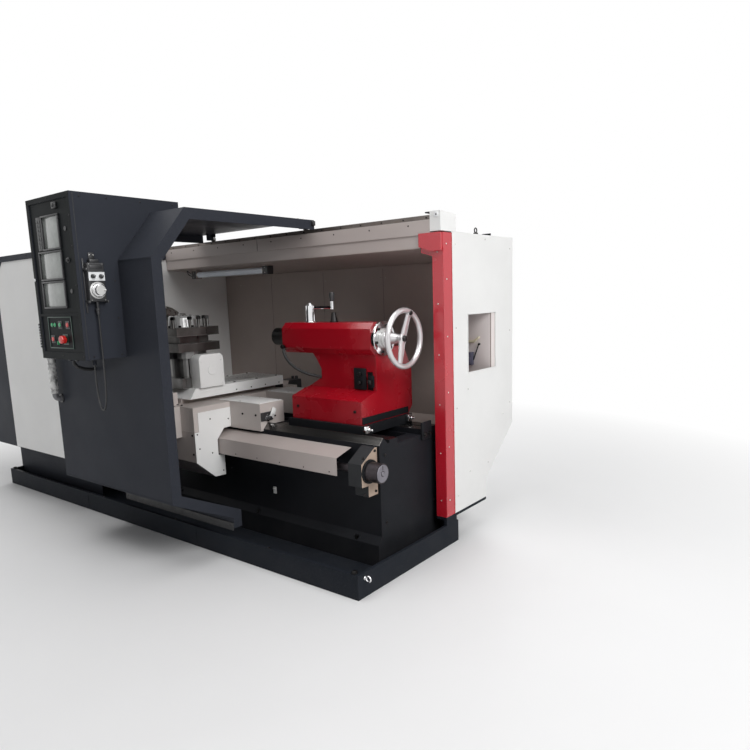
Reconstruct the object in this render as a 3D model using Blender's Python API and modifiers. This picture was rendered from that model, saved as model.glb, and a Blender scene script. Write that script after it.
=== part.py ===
"""Flat-bed CNC turning lathe with a sliding front hood, tool post, chuck and tailstock.

Metres. X runs along the spindle towards the tailstock, Y to the rear, Z up.
The origin lies in the middle of the tray's underside.
"""
import math

import bmesh
import bpy
from mathutils import Matrix, Vector

# Clearances shared by all pieces
GAP = 0.0003            # between two pieces that touch
RUN_GAP = 0.0005        # radial, between a turning piece and its bore
OVERRUN = 0.02          # how far a cutter passes the face it cuts
BITE = 0.002            # how far welded or cast-on pieces reach into each other
SHEET = 0.004           # guard sheet thickness

# Tray under the machine
LENGTH = 3.600
CHIP_SPACE = 0.319
TRAY_REAR_SPACE = 0.049
TRAY_HEIGHT = 0.120
TRAY_FLOOR = 0.030
TRAY_RIM = 0.018

# Bed casting
BED_END_INSET = 0.100
DRIVE_BAY = 0.200
BED_WIDTH = 0.530
BED_FOOT = 0.028
FOOT_EDGE_Z = 0.145
FOOT_TOP_Z = 0.185
WAY_Z = 0.670
WAY_STEP = 0.015
WAY_FLOOR_DROP = 0.030
V_HALF = 0.035
V_RISE = 0.035
WAY_GROOVE = 0.015
FLAT_WIDTH = 0.070
POCKET_LAND = 0.010
POCKET_FLOOR = 0.070
BAY_COUNT = 5
BAY_START = -0.520
BAY_RIB = 0.080
WINDOW_LOW = 0.220
WINDOW_HEIGHT = 0.180
WINDOW_MARGIN = 0.050

# Spindle line
AXIS_Y = 0.160
AXIS_Z = 1.162

# Headstock
HEAD_LEFT = -1.560
HEAD_RIGHT = -0.640
HEAD_TOP = 1.420
HEAD_CHAMFER = 0.080
SPINDLE_RADIUS = 0.075
SPINDLE_BORE = 0.052
NOSE_RADIUS = 0.105
NOSE_LENGTH = 0.035
BEARING_RADIUS = 0.110
BEARING_DEPTH = 0.080
BEARING_FLANGE = 0.135
BEARING_FLANGE_THICK = 0.014
PULLEY_RADIUS = 0.158
PULLEY_RIM = 0.012
PULLEY_WIDTH = 0.070
PULLEY_FLANGE = 0.006
PULLEY_INSET = 0.080

# Chuck
CHUCK_RADIUS = 0.200
CHUCK_LENGTH = 0.130
CHUCK_EDGE = 0.012
JAW_COUNT = 3
JAW_WIDTH = 0.040
JAW_SLOT_DEPTH = 0.030
JAW_INNER = 0.075
JAW_OUTER = 0.185
JAW_STEP = 0.034
JAW_RISE = 0.022

# Headstock cover and left end guard
GUARD_FRONT = -0.573
GUARD_REAR = 0.840
GUARD_LOWER_Z = 0.387
GUARD_TOE_Y = -0.355
GUARD_TOE_Z = 0.275
GUARD_CHAMFER = 0.110
GUARD_RIGHT = -1.3167
COVER_RIGHT = -0.580
COVER_HOLE = 0.150
COVER_NOTCH_FRONT = -0.300
COVER_NOTCH_REAR = 0.520
COVER_NOTCH_TOP = 0.720
BAR_HOLE = 0.070
ROOF_FRONT = -0.580
ROOF_THICK = 0.037
ROOF_REAR = 0.3000
ROOF_OVERHANG = 0.020
GUSSET = 0.120

# Sill behind the bed that carries the rear enclosure
SILL_Z = 0.1665
SILL_THICK = 0.016
SILL_INSET = 0.010
SILL_REAR = 0.777
SILL_CABINET_REAR = 1.120
SILL_LEG = 0.020
CABINET_RIGHT = -0.620

# Main motor, belt
MOTOR_Y = 0.660
MOTOR_Z = 0.460
MOTOR_RADIUS = 0.140
MOTOR_LENGTH = 0.400
MOTOR_LEFT = -1.550
MOTOR_FOOT = 0.110
MOTOR_SHAFT = 0.024
MOTOR_BORE_DEPTH = 0.060
MOTOR_PULLEY_RADIUS = 0.079
BELT_THICK = 0.010
BELT_WIDTH = 0.052

# Header, roof and rear enclosure
HEADER_FRONT = 0.309
HEADER_REAR = 0.460
HEADER_HEIGHT = 0.140
HEADER_TOP = 1.7650
HEADER_OVER_GUARD = 0.065
HEADER_CREASE_DROP = 0.075
HEADER_CREASE = 0.006
END_BLOCK_LEFT = 1.7353
END_BLOCK_DROP = 0.0607
END_BLOCK_RISE = 0.040
END_BLOCK_SLOPE = 0.010
RAIL_FRONT = 0.332
RAIL_REAR = 0.400
RAIL_HEIGHT = 0.025
ENCLOSURE_REAR = 1.128
ENCLOSURE_DROP = 0.0595
ENCLOSURE_KNEE_Z = 0.5625
ENCLOSURE_TOE_Y = 0.789
ENCLOSURE_TOE_Z = 0.2916
WALL_Y = 0.855
WALL_THICK = 0.003
WALL_TOP = 1.573
WALL_KNEE_Z = 0.620
WALL_TOE_Y = 0.560
WALL_TOE_Z = 0.360

# Corner post and right side panel
POST_FRONT = 0.327
POST_REAR = 0.417
POST_LEFT = 1.735
POST_DROP = 0.067
POST_HEAD_LEFT = 1.665
POST_HEAD_HEIGHT = 0.068
POST_HEAD_GUSSET = 0.025
SIDE_WINDOW_FRONT = 0.579
SIDE_WINDOW_REAR = 0.901
SIDE_WINDOW_LOW = 0.945
SIDE_WINDOW_TOP = 1.266

# Work lamp
LAMP_Y = 0.420
LAMP_Z = 1.578
LAMP_LEFT = -0.345
LAMP_LENGTH = 0.705
LAMP_RADIUS = 0.022
LAMP_CAP = 0.050
LAMP_CAP_HALF = 0.026

# Electrical cabinet
CABINET_LEFT = -1.780
CABINET_FRONT = 0.8403
CABINET_DROP = 0.006
CABINET_DOOR_THICK = 0.012
CABINET_EDGE = 0.002
RACK_DEPTH = 0.100
RACK_MARGIN = 0.060
DRIVE_COUNT = 4
DRIVE_HEIGHT = 0.380
TALL_DRIVE_SHARE = 0.35     # how much taller every second drive unit is
LATCH_RADIUS = 0.022
LATCH_DEPTH = 0.012

# Sliding hood
HOOD_LEFT = -0.150
HOOD_RIGHT = 0.909
HOOD_REAR = 0.327
HOOD_ABOVE_ROLLER = 0.0334
HOOD_KNEE_Y = -0.585
HOOD_FRONT = -0.790
HOOD_SLOPE_DROP = 0.240
HOOD_WAIST_Z = 0.394
HOOD_TOE_Y = -0.421
HOOD_TOE_Z = 0.2187
HOOD_LIP_Z = 0.160
HOOD_FLANGE = 0.055
ROLLER_RADIUS = 0.016
ROLLER_WIDTH = 0.020
ROLLER_INSET = 0.090
ROLLER_OFFSET = 0.004
AXLE_RADIUS = 0.006
AXLE_BLOCK = 0.020
AXLE_BLOCK_DEPTH = 0.028

# Console on the hood
CONSOLE_LEFT = 0.1995
CONSOLE_RIGHT = 0.627
CONSOLE_FRONT = -1.005
CONSOLE_LOW = 1.125
CONSOLE_RISE = 0.068
CONSOLE_REAR = -0.414
CONSOLE_BORDER = 0.024
CONSOLE_RECESS = 0.006
PANEL_LOW = 1.160
PANEL_DIVIDE_Z = 1.350
BUTTON_RADIUS = 0.011
BUTTON_STAND = 0.007
BUTTON_DEPTH = 0.014
BUTTON_HOLE_DEPTH = 0.030
BUTTON_ROW_Z = 1.295
BUTTON_LOW_Z = 1.224
START_X = 0.407
STOP_X = 0.481
HOLD_X = 0.323
ESTOP_X = 0.447
ESTOP_HEAD = 0.020
ESTOP_HEAD_THICK = 0.023
ESTOP_STAND = 0.007
GLAND_X = 0.560
GLAND_Y = -0.927
GLAND_RADIUS = 0.010
GLAND_LENGTH = 0.030

# Hood handle
HANDLE_X = -0.100
HANDLE_LOW = 0.840
HANDLE_TOP = 1.240
HANDLE_STAND = 0.075
HANDLE_RADIUS = 0.011
HANDLE_BEND = 0.040
HANDLE_STEPS = 6

# Hand pendant on the console's side
PENDANT_THICK = 0.035
PENDANT_FRONT = -0.968
PENDANT_WIDTH = 0.082
PENDANT_LOW = 1.401
PENDANT_HEIGHT = 0.183
PENDANT_ROUND = 0.010
WHEEL_Y = -0.927
WHEEL_Z = 1.455
WHEEL_RADIUS = 0.031
WHEEL_THICK = 0.020
WHEEL_GRIP = 0.007
KNOB_Z = 1.520
KNOB_SPACING = 0.040
KNOB_RADIUS = 0.009
KNOB_THICK = 0.012
RELIEF_RADIUS = 0.008
RELIEF_LENGTH = 0.030
CABLE_RADIUS = 0.004
# The cable's route, chosen by hand: out of the pendant, down, and up into the console
CABLE_ROUTE = [
    (0.6448, -0.9270, 1.3707), (0.6448, -0.9270, 1.3400), (0.6452, -0.9272, 1.2600),
    (0.6465, -0.9276, 1.1600), (0.6470, -0.9280, 1.0600), (0.6450, -0.9282, 0.9800),
    (0.6370, -0.9282, 0.9200), (0.6205, -0.9280, 0.8830), (0.6020, -0.9277, 0.8730),
    (0.5840, -0.9275, 0.8830), (0.5690, -0.9273, 0.9200), (0.5615, -0.9272, 0.9800),
    (0.5600, -0.9271, 1.0400), (0.5600, -0.9270, 1.0800), (0.5600, -0.9270, 1.0947),
]
CABLE_STEPS = 3

# Longitudinal screw, its cover and drive
SCREW_OUT = 0.065
SCREW_Z = 0.540
SCREW_RADIUS = 0.020
SCREW_LEFT = -1.350
BOSS_RADIUS = 0.050
BOSS_LENGTH = 0.080
BRACKET_LEFT = 1.600
BRACKET_RIGHT = 1.685
BRACKET_LOW = 0.410
BRACKET_TOP = 0.650
BRACKET_OUT = 0.125
BRACKET_CROWN = 0.065
BRACKET_FOOT = 0.060
BRACKET_STEP = 0.050
SERVO_LENGTH = 0.200
SERVO_BORE_DEPTH = 0.060
SERVO_HEIGHT = 0.130
SCREW_COVER_LEFT = -0.550
SCREW_COVER_RIGHT = 1.520
SCREW_COVER_OUT = 0.120
SCREW_COVER_REAR_Z = 0.628
SCREW_COVER_FRONT_Z = 0.597
SCREW_COVER_LOW = 0.505

# Saddle, apron and nut
SADDLE_LEFT = -0.120
SADDLE_RIGHT = 0.868
SADDLE_TOP = 0.800
SADDLE_SKIRT = 0.019
SADDLE_SKIRT_LOW = 0.645
SADDLE_REAR_LIP = 0.050
BRIDGE_LEFT = 0.130
BRIDGE_RIGHT = 0.500
WING_FRONT_EDGE = 0.035
WING_REAR_EDGE = 0.235
BLOCK_RIGHT = 0.605
BLOCK_OUT = 0.280
BLOCK_LOW = 0.660
NOSE_RIGHT = 0.485
NOSE_OUT = 0.340
NOSE_LOW = 0.620
TAIL_END = 0.560
TAIL_MARGIN = 0.040
CREAM_LEFT = 0.190
CREAM_RIGHT = 0.400
CREAM_OUT = 0.230
CREAM_TOP = 0.868
RAIL_HALF = 0.080
RAIL_FLARE = 0.010
RAIL_RISE = 0.026
SLIDE_RAIL_FRONT = -0.340
SLIDE_RAIL_REAR = 0.540
CHANNEL_HALF = 0.022
CHANNEL_LOW = 0.740
APRON_OUT = 0.132
APRON_LOW = 0.375
APRON_CHIN_OUT = 0.159
APRON_CHIN_Z = 0.483
NUT_RADIUS = 0.035
NUT_LENGTH = 0.120
NUT_ARM_LOW = 0.430
NUT_ARM_TOP = 0.495
NUT_ARM_OUT = 0.105
NUT_ARM_SPACE = 0.025
GUARD_PLATE = 0.003
END_GUARD_TOP = 0.767
END_GUARD_UPPER_OUT = 0.251
END_GUARD_OUT = 0.282
END_GUARD_LEDGE_Z = 0.656
END_GUARD_SPACE = 0.0205
END_GUARD_STEP_Z = 0.652
END_GUARD_NOTCH_TOP_OUT = 0.075
END_GUARD_NOTCH_OUT = 0.128
END_GUARD_NOTCH_Z = 0.590
END_GUARD_NOTCH_LOW = 0.496
END_GUARD_TAIL_OUT = 0.084
END_GUARD_LOW = 0.372

# Cross slide and its screw
SLIDE_X = 0.313
SLIDE_HALF = 0.170
SLIDE_FRONT = -0.334
SLIDE_REAR = 0.410
SLIDE_TOP = 0.885
SLIDE_NOSE = 0.045
X_SCREW_RADIUS = 0.010
X_SCREW_Z = 0.770
X_SCREW_FRONT = -0.330
X_BEARING = 0.040
X_NUT_HALF = 0.018
X_NUT_LENGTH = 0.050
X_SERVO_LENGTH = 0.140
X_SERVO_SIZE = 0.098

# Tool post
POST_Y = -0.223
POST_HALF = 0.147
POST_BASE_Z = 1.100
POST_SLOT_LOW = 1.150
POST_SLOT_HIGH = 1.190
POST_SLOT_DEPTH = 0.045
POST_BLOCK_TOP = 1.240
BOLT_RADIUS = 0.009
BOLT_HEAD = 0.045
BOLT_COUNT = 3
BOLT_EDGE = 0.022
BOLT_SPREAD = 0.062
CAP_RADIUS = 0.094
CAP_HEIGHT = 0.066
CAP_EDGE = 0.012
CAP_TAPER = 0.008
BASE_PLATE_HALF = 0.110
BASE_PLATE_TOP = 0.945
BASE_DRUM = 0.125
BASE_NECK = 0.095
BASE_NECK_Z = 1.060
GEARBOX_RIGHT = 0.500
GEARBOX_FRONT = -0.265
GEARBOX_REAR = -0.095
GEARBOX_TOP = 1.077
GEARBOX_ROUND = 0.030

# Tailstock
TAIL_LEFT = 1.010
TAIL_RIGHT = 1.514
TAIL_FRONT = -0.030
TAIL_REAR = 0.430
TAIL_BASE_REAR = 0.400
TAIL_PLATE_TOP = 0.7197
TAIL_PLATE_FRONT = -0.050
TAIL_PLATE_OVER = 0.018
FLARE_FRONT_Z = 0.845
FLARE_NECK_Z = 0.885
FLARE_REAR_Z = 0.975
FLARE_REAR_Y = 0.430
FLARE_HEEL_Y = 0.390
FLARE_HEEL_Z = 0.760
NECK_FRONT = 0.105
NECK_REAR = 0.360
NECK_LEFT = 1.120
NECK_LOW_Z = 0.940
NECK_MID_Z = 0.990
NECK_HIGH_X = 1.085
NECK_HIGH_Z = 1.045
BARREL_LEFT = 0.857
BARREL_HALF_WIDTH = 0.094
BARREL_HALF_HEIGHT = 0.086
BARREL_BEVEL = 0.032
BARREL_UNDER_X = 0.985
RECESS_LEFT = 1.450
RECESS_RIGHT = 1.530
RECESS_LOW = 0.885
RECESS_TOP = 0.985
RECESS_DEPTH = 0.050
QUILL_RADIUS = 0.0525
QUILL_TIP = 0.720
QUILL_END = 1.360
QUILL_BORE_END = 1.475
TAPER_MOUTH = 0.024
TAPER_END = 0.020
TAPER_DEPTH = 0.100
OIL_CUP_X = 1.182
OIL_CUP_RADIUS = 0.018
OIL_CUP_HEIGHT = 0.050
FLANGE_RADIUS = 0.093
FLANGE_THICK = 0.020
FLANGE_HUB = 0.045
FLANGE_HUB_LENGTH = 0.030
HANDWHEEL_X = 1.663
HANDWHEEL_RADIUS = 0.160
HANDWHEEL_RIM = 0.0145
HANDWHEEL_HUB = 0.030
HANDWHEEL_SHAFT = 0.013
SPOKE_WIDTH = 0.036
SPOKE_THICK = 0.010
LEVER_X = 1.005
LEVER_HUB = 0.030
LEVER_HUB_TOP = 1.342
LEVER_ARM_Z = 1.330
LEVER_ARM_RADIUS = 0.0085
LEVER_REACH = 0.168
LEVER_STEM_TOP = 1.372
LEVER_GRIP_RADIUS = 0.0125
LEVER_GRIP_TOP = 1.412

# Mesh resolution
SIDES = 48
SMALL_SIDES = 16
MEDIUM_SIDES = 32

# Places worked out from the sizes above
HALF = LENGTH / 2
BED_LEFT = -HALF + DRIVE_BAY
BED_RIGHT = HALF - BED_END_INSET
TRAY_DEPTH = CHIP_SPACE + BED_WIDTH + TRAY_REAR_SPACE
BED_FRONT = -TRAY_DEPTH / 2 + CHIP_SPACE
BED_REAR = BED_FRONT + BED_WIDTH
SCREW_Y = BED_FRONT - SCREW_OUT
BRACKET_FRONT = BED_FRONT - BRACKET_OUT
SCREW_COVER_FRONT = BED_FRONT - SCREW_COVER_OUT
APRON_REAR = BED_FRONT - APRON_OUT
APRON_CHIN_Y = BED_FRONT - APRON_CHIN_OUT
NUT_ARM_FRONT = BED_FRONT - NUT_ARM_OUT
NUT_ARM_REAR = BED_FRONT - NUT_ARM_SPACE
END_GUARD_UPPER_FRONT = BED_FRONT - END_GUARD_UPPER_OUT
END_GUARD_FRONT = BED_FRONT - END_GUARD_OUT
END_GUARD_REAR = BED_FRONT - END_GUARD_SPACE
END_GUARD_NOTCH_TOP_Y = BED_FRONT - END_GUARD_NOTCH_TOP_OUT
END_GUARD_NOTCH_Y = BED_FRONT - END_GUARD_NOTCH_OUT
END_GUARD_TAIL_Y = BED_FRONT - END_GUARD_TAIL_OUT
BLOCK_FRONT = BED_FRONT - BLOCK_OUT
NOSE_FRONT = BED_FRONT - NOSE_OUT
CREAM_REAR = BED_FRONT - CREAM_OUT
V_FOOT_Z = WAY_Z - WAY_STEP
V_APEX = V_FOOT_Z + V_RISE
INNER_FLAT_FRONT = BED_FRONT + 2 * V_HALF + WAY_GROOVE
INNER_FLAT_REAR = BED_REAR - FLAT_WIDTH - WAY_GROOVE
POCKET_FRONT = INNER_FLAT_FRONT + FLAT_WIDTH + POCKET_LAND
POCKET_REAR = INNER_FLAT_REAR - FLAT_WIDTH - POCKET_LAND
BAY_PITCH = (BED_RIGHT - POCKET_LAND - BAY_START) / BAY_COUNT
PULLEY_LEFT = -HALF + PULLEY_INSET
PULLEY_RIGHT = PULLEY_LEFT + PULLEY_WIDTH
SPINDLE_LEFT = PULLEY_LEFT - PULLEY_RIM
NOSE_END = COVER_RIGHT + NOSE_LENGTH / 2
CHUCK_LEFT = NOSE_END + GAP
POST_X = SLIDE_X
GUARD_TOP = HEADER_TOP - HEADER_OVER_GUARD
HEADER_LOW = HEADER_TOP - HEADER_HEIGHT
HEADER_CREASE_Z = HEADER_TOP - HEADER_CREASE_DROP
END_BLOCK_LOW = HEADER_TOP - END_BLOCK_DROP
END_BLOCK_TOP = HEADER_TOP + END_BLOCK_RISE
ENCLOSURE_TOP = HEADER_TOP - ENCLOSURE_DROP
CABINET_TOP = ENCLOSURE_TOP - CABINET_DROP
POST_TOP = HEADER_TOP - POST_DROP
POST_HEAD_LOW = POST_TOP - POST_HEAD_HEIGHT
SOFFIT_FRONT_Z = HEADER_LOW - GAP
RAIL_TOP = HEADER_TOP + GAP + RAIL_HEIGHT
ROLLER_Y = RAIL_FRONT + ROLLER_OFFSET
ROLLER_Z = RAIL_TOP + GAP + ROLLER_RADIUS
HOOD_TOP = ROLLER_Z + HOOD_ABOVE_ROLLER
HOOD_SHOULDER_Z = HOOD_TOP - HOOD_SLOPE_DROP
CONSOLE_TOP = HOOD_TOP + CONSOLE_RISE
SOFFIT_REAR_Z = WALL_TOP + GAP + WALL_THICK
PANEL_Y = CONSOLE_FRONT + CONSOLE_RECESS
PENDANT_FACE = CONSOLE_RIGHT + GAP + PENDANT_THICK

MODEL = None
CUTTERS = None
MATERIALS = {}

PALETTE = {
    "slate_paint": ((0.055, 0.062, 0.075), 0.42, 0.0),
    "white_paint": ((0.84, 0.84, 0.83), 0.35, 0.0),
    "red_paint": ((0.60, 0.012, 0.035), 0.28, 0.0),
    "cream_paint": ((0.70, 0.66, 0.62), 0.40, 0.0),
    "black_casting": ((0.022, 0.023, 0.026), 0.45, 0.0),
    "dark_rail": ((0.09, 0.08, 0.075), 0.50, 0.3),
    "steel": ((0.50, 0.50, 0.50), 0.32, 1.0),
    "dark_steel": ((0.16, 0.15, 0.15), 0.38, 1.0),
    "chrome": ((0.75, 0.75, 0.76), 0.12, 1.0),
    "rubber": ((0.015, 0.015, 0.016), 0.65, 0.0),
    "tan_primer": ((0.62, 0.50, 0.38), 0.60, 0.0),
    "lamp_glass": ((0.80, 0.84, 0.90), 0.15, 0.0),
    "black_plastic": ((0.02, 0.02, 0.022), 0.40, 0.0),
    "red_plastic": ((0.65, 0.02, 0.02), 0.35, 0.0),
    "green_plastic": ((0.02, 0.35, 0.08), 0.35, 0.0),
    "grey_tube": ((0.36, 0.37, 0.38), 0.35, 0.2),
}


def clear_scene():
    for obj in list(bpy.data.objects):
        bpy.data.objects.remove(obj, do_unlink=True)


def make_collection(name):
    collection = bpy.data.collections.new(name)
    bpy.context.scene.collection.children.link(collection)
    return collection


def material(name):
    if name not in MATERIALS:
        colour, roughness, metallic = PALETTE[name]
        new = bpy.data.materials.new(name)
        new.use_nodes = True
        shader = new.node_tree.nodes["Principled BSDF"]
        shader.inputs["Base Color"].default_value = (*colour, 1.0)
        shader.inputs["Roughness"].default_value = roughness
        shader.inputs["Metallic"].default_value = metallic
        MATERIALS[name] = new
    return MATERIALS[name]


def add_object(name, mesh, paint):
    """Put a mesh in the model, or among the cutters when it has no paint."""
    obj = bpy.data.objects.new(name, mesh)
    if paint is None:
        CUTTERS.objects.link(obj)
        obj.hide_render = True
        obj.display_type = 'WIRE'
    else:
        MODEL.objects.link(obj)
        mesh.materials.append(material(paint))
    return obj


def box(name, low, high, paint=None):
    mesh = bpy.data.meshes.new(name)
    form = bmesh.new()
    low = Vector(low)
    high = Vector(high)
    place = Matrix.Translation((low + high) / 2) @ Matrix.Diagonal((*(high - low), 1.0))
    bmesh.ops.create_cube(form, size=1.0, matrix=place)
    form.to_mesh(mesh)
    form.free()
    return add_object(name, mesh, paint)


AXIS_TURN = {
    "X": Matrix.Rotation(math.pi / 2, 4, 'Y'),
    "Y": Matrix.Rotation(-math.pi / 2, 4, 'X'),
    "Z": Matrix.Identity(4),
}


def rod(name, start, radius, length, axis, paint=None, sides=SMALL_SIDES, end_radius=None):
    """A cylinder or cone from start along an axis."""
    mesh = bpy.data.meshes.new(name)
    form = bmesh.new()
    place = Matrix.Translation(start) @ AXIS_TURN[axis] @ Matrix.Translation((0, 0, length / 2))
    bmesh.ops.create_cone(form, cap_ends=True, segments=sides, radius1=radius,
                          radius2=radius if end_radius is None else end_radius,
                          depth=length, matrix=place)
    form.to_mesh(mesh)
    form.free()
    smooth(mesh)
    return add_object(name, mesh, paint)


def smooth(mesh):
    mesh.shade_smooth()
    mesh.set_sharp_from_angle(angle=math.radians(35))


def turned(name, profile, origin, axis, paint=None, steps=SIDES):
    """Turn a profile of (radius, height) points, listed down its outer side, about an axis."""
    mesh = bpy.data.meshes.new(name)
    form = bmesh.new()
    corners = [form.verts.new((radius, 0, height)) for radius, height in profile]
    for first, second in zip(corners, corners[1:]):
        form.edges.new((first, second))
    if profile[0][0] > 0:
        form.edges.new((corners[-1], corners[0]))
    form.to_mesh(mesh)
    form.free()
    obj = add_object(name, mesh, paint)
    obj.matrix_world = Matrix.Translation(origin) @ AXIS_TURN[axis]
    screw = obj.modifiers.new("Turn", 'SCREW')
    screw.axis = 'Z'
    screw.angle = 2 * math.pi
    screw.steps = steps
    screw.render_steps = steps
    screw.use_merge_vertices = True
    screw.merge_threshold = 0.0001
    screw.use_smooth_shade = False
    return obj


OUTLINE_TURN = {
    "X": Matrix(((0, 0, 1, 0), (1, 0, 0, 0), (0, 1, 0, 0), (0, 0, 0, 1))),
    "Y": Matrix(((1, 0, 0, 0), (0, 0, -1, 0), (0, 1, 0, 0), (0, 0, 0, 1))),
    "Z": Matrix.Identity(4),
}


def outline(name, loops, axis, start, end, paint=None):
    """Extrude closed loops from start to end: (y, z) along X, (x, z) along Y, (x, y) along Z."""
    curve = bpy.data.curves.new(name, 'CURVE')
    curve.dimensions = '2D'
    curve.fill_mode = 'BOTH'
    curve.extrude = (end - start) / 2
    for loop in loops:
        spline = curve.splines.new('POLY')
        spline.points.add(len(loop) - 1)
        for point, (across, up) in zip(spline.points, loop):
            point.co = (across, up, 0, 1)
        spline.use_cyclic_u = True
    guide = bpy.data.objects.new(name + "_outline", curve)
    CUTTERS.objects.link(guide)
    middle = (start + end) / 2
    shift = -middle if axis == "Y" else middle
    mesh = curve_to_mesh(guide, OUTLINE_TURN[axis] @ Matrix.Translation((0, 0, shift)))
    return add_object(name, mesh, paint)


def curve_to_mesh(guide, place):
    """Turn a curve object into a closed mesh and remove the curve."""
    bpy.context.view_layer.update()
    graph = bpy.context.evaluated_depsgraph_get()
    mesh = bpy.data.meshes.new_from_object(guide.evaluated_get(graph))
    curve = guide.data
    bpy.data.objects.remove(guide, do_unlink=True)
    bpy.data.curves.remove(curve)
    form = bmesh.new()
    form.from_mesh(mesh)
    bmesh.ops.remove_doubles(form, verts=form.verts, dist=0.00001)
    bmesh.ops.transform(form, matrix=place, verts=form.verts)
    bmesh.ops.recalc_face_normals(form, faces=form.faces)
    form.to_mesh(mesh)
    form.free()
    mesh.materials.clear()
    return mesh


def tube(name, points, radius, paint, resolution=2):
    """A round bar along points, with closed ends."""
    curve = bpy.data.curves.new(name, 'CURVE')
    curve.dimensions = '3D'
    curve.bevel_depth = radius
    curve.bevel_resolution = resolution
    curve.use_fill_caps = True
    spline = curve.splines.new('POLY')
    spline.points.add(len(points) - 1)
    for point, place in zip(spline.points, points):
        point.co = (*place, 1)
    guide = bpy.data.objects.new(name + "_line", curve)
    CUTTERS.objects.link(guide)
    mesh = curve_to_mesh(guide, Matrix.Identity(4))
    smooth(mesh)
    return add_object(name, mesh, paint)


def boolean(obj, tool, operation):
    modifier = obj.modifiers.new(tool.name, 'BOOLEAN')
    modifier.operation = operation
    modifier.solver = 'EXACT'
    modifier.object = tool


def cut(obj, *tools):
    for tool in tools:
        boolean(obj, tool, 'DIFFERENCE')
    return obj


def join(obj, *tools):
    for tool in tools:
        boolean(obj, tool, 'UNION')
    return obj


def set_origin(obj, point):
    """Move an object's origin to a point on its joint's axis."""
    point = Vector(point)
    obj.data.transform(Matrix.Translation(obj.matrix_world.inverted() @ point * -1))
    obj.matrix_world = Matrix.Translation(point) @ obj.matrix_world.to_3x3().to_4x4()
    return obj


def offset_path(points, distance):
    """Shift an open path sideways, to its left, with mitred corners."""
    normals = []
    for (ax, ay), (bx, by) in zip(points, points[1:]):
        length = math.hypot(bx - ax, by - ay)
        normals.append((-(by - ay) / length, (bx - ax) / length))
    shifted = []
    for index, (px, py) in enumerate(points):
        before = normals[max(index - 1, 0)]
        after = normals[min(index, len(normals) - 1)]
        scale = distance / (1 + before[0] * after[0] + before[1] * after[1])
        shifted.append((px + (before[0] + after[0]) * scale, py + (before[1] + after[1]) * scale))
    return shifted


def arc(centre, radius, start, end, steps):
    """Points of an arc, angles in degrees."""
    points = []
    for step in range(steps + 1):
        angle = math.radians(start + (end - start) * step / steps)
        points.append((centre[0] + radius * math.cos(angle), centre[1] + radius * math.sin(angle)))
    return points


def smooth_route(route, steps):
    """A Catmull-Rom curve through the route's points."""
    points = [Vector(place) for place in route]
    padded = [2 * points[0] - points[1]] + points + [2 * points[-1] - points[-2]]
    result = []
    for a, b, c, d in zip(padded, padded[1:], padded[2:], padded[3:]):
        for step in range(steps):
            t = step / steps
            result.append(0.5 * (2 * b + (c - a) * t + (2 * a - 5 * b + 4 * c - d) * t ** 2
                                 + (3 * b - a - 3 * c + d) * t ** 3))
    result.append(points[-1])
    return result


def build_tray():
    tray = box("base_tray", (-HALF, -TRAY_DEPTH / 2, 0), (HALF, TRAY_DEPTH / 2, TRAY_HEIGHT),
               "slate_paint")
    cut(tray, box("tray_pocket",
                  (-HALF + TRAY_RIM, -TRAY_DEPTH / 2 + TRAY_RIM, TRAY_FLOOR),
                  (HALF - TRAY_RIM, TRAY_DEPTH / 2 - TRAY_RIM, TRAY_HEIGHT + OVERRUN)))


def build_bed():
    low = TRAY_FLOOR + GAP
    inner_rear_end = INNER_FLAT_REAR - FLAT_WIDTH
    way_floor = WAY_Z - WAY_FLOOR_DROP
    profile = [
        (BED_FRONT - BED_FOOT, low), (BED_FRONT - BED_FOOT, FOOT_EDGE_Z), (BED_FRONT, FOOT_TOP_Z),
        (BED_FRONT, V_FOOT_Z), (BED_FRONT + V_HALF, V_APEX), (BED_FRONT + 2 * V_HALF, V_FOOT_Z),
        (INNER_FLAT_FRONT, V_FOOT_Z), (INNER_FLAT_FRONT, WAY_Z),
        (INNER_FLAT_FRONT + FLAT_WIDTH, WAY_Z), (INNER_FLAT_FRONT + FLAT_WIDTH, way_floor),
        (inner_rear_end, way_floor), (inner_rear_end, WAY_Z), (INNER_FLAT_REAR, WAY_Z),
        (INNER_FLAT_REAR, V_FOOT_Z), (BED_REAR - FLAT_WIDTH, V_FOOT_Z),
        (BED_REAR - FLAT_WIDTH, WAY_Z), (BED_REAR, WAY_Z), (BED_REAR, FOOT_TOP_Z),
        (BED_REAR + BED_FOOT, FOOT_EDGE_Z), (BED_REAR + BED_FOOT, low),
    ]
    bed = outline("bed", [profile], "X", BED_LEFT, BED_RIGHT, "black_casting")
    for bay in range(BAY_COUNT):
        left = BAY_START + bay * BAY_PITCH
        right = left + BAY_PITCH - BAY_RIB
        cut(bed, box("bay_pocket_%d" % bay, (left, POCKET_FRONT, TRAY_FLOOR + POCKET_FLOOR),
                     (right, POCKET_REAR, WAY_Z + OVERRUN)))
        half = (right - left) / 2 - WINDOW_MARGIN
        middle = (left + right) / 2
        arch = [(middle - half, WINDOW_LOW), (middle + half, WINDOW_LOW)]
        arch += arc((middle, WINDOW_LOW + WINDOW_HEIGHT), half, 0, 180, 10)
        cut(bed, outline("bay_window_%d" % bay, [arch], "Y", POCKET_REAR - OVERRUN,
                         BED_REAR + OVERRUN))


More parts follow.
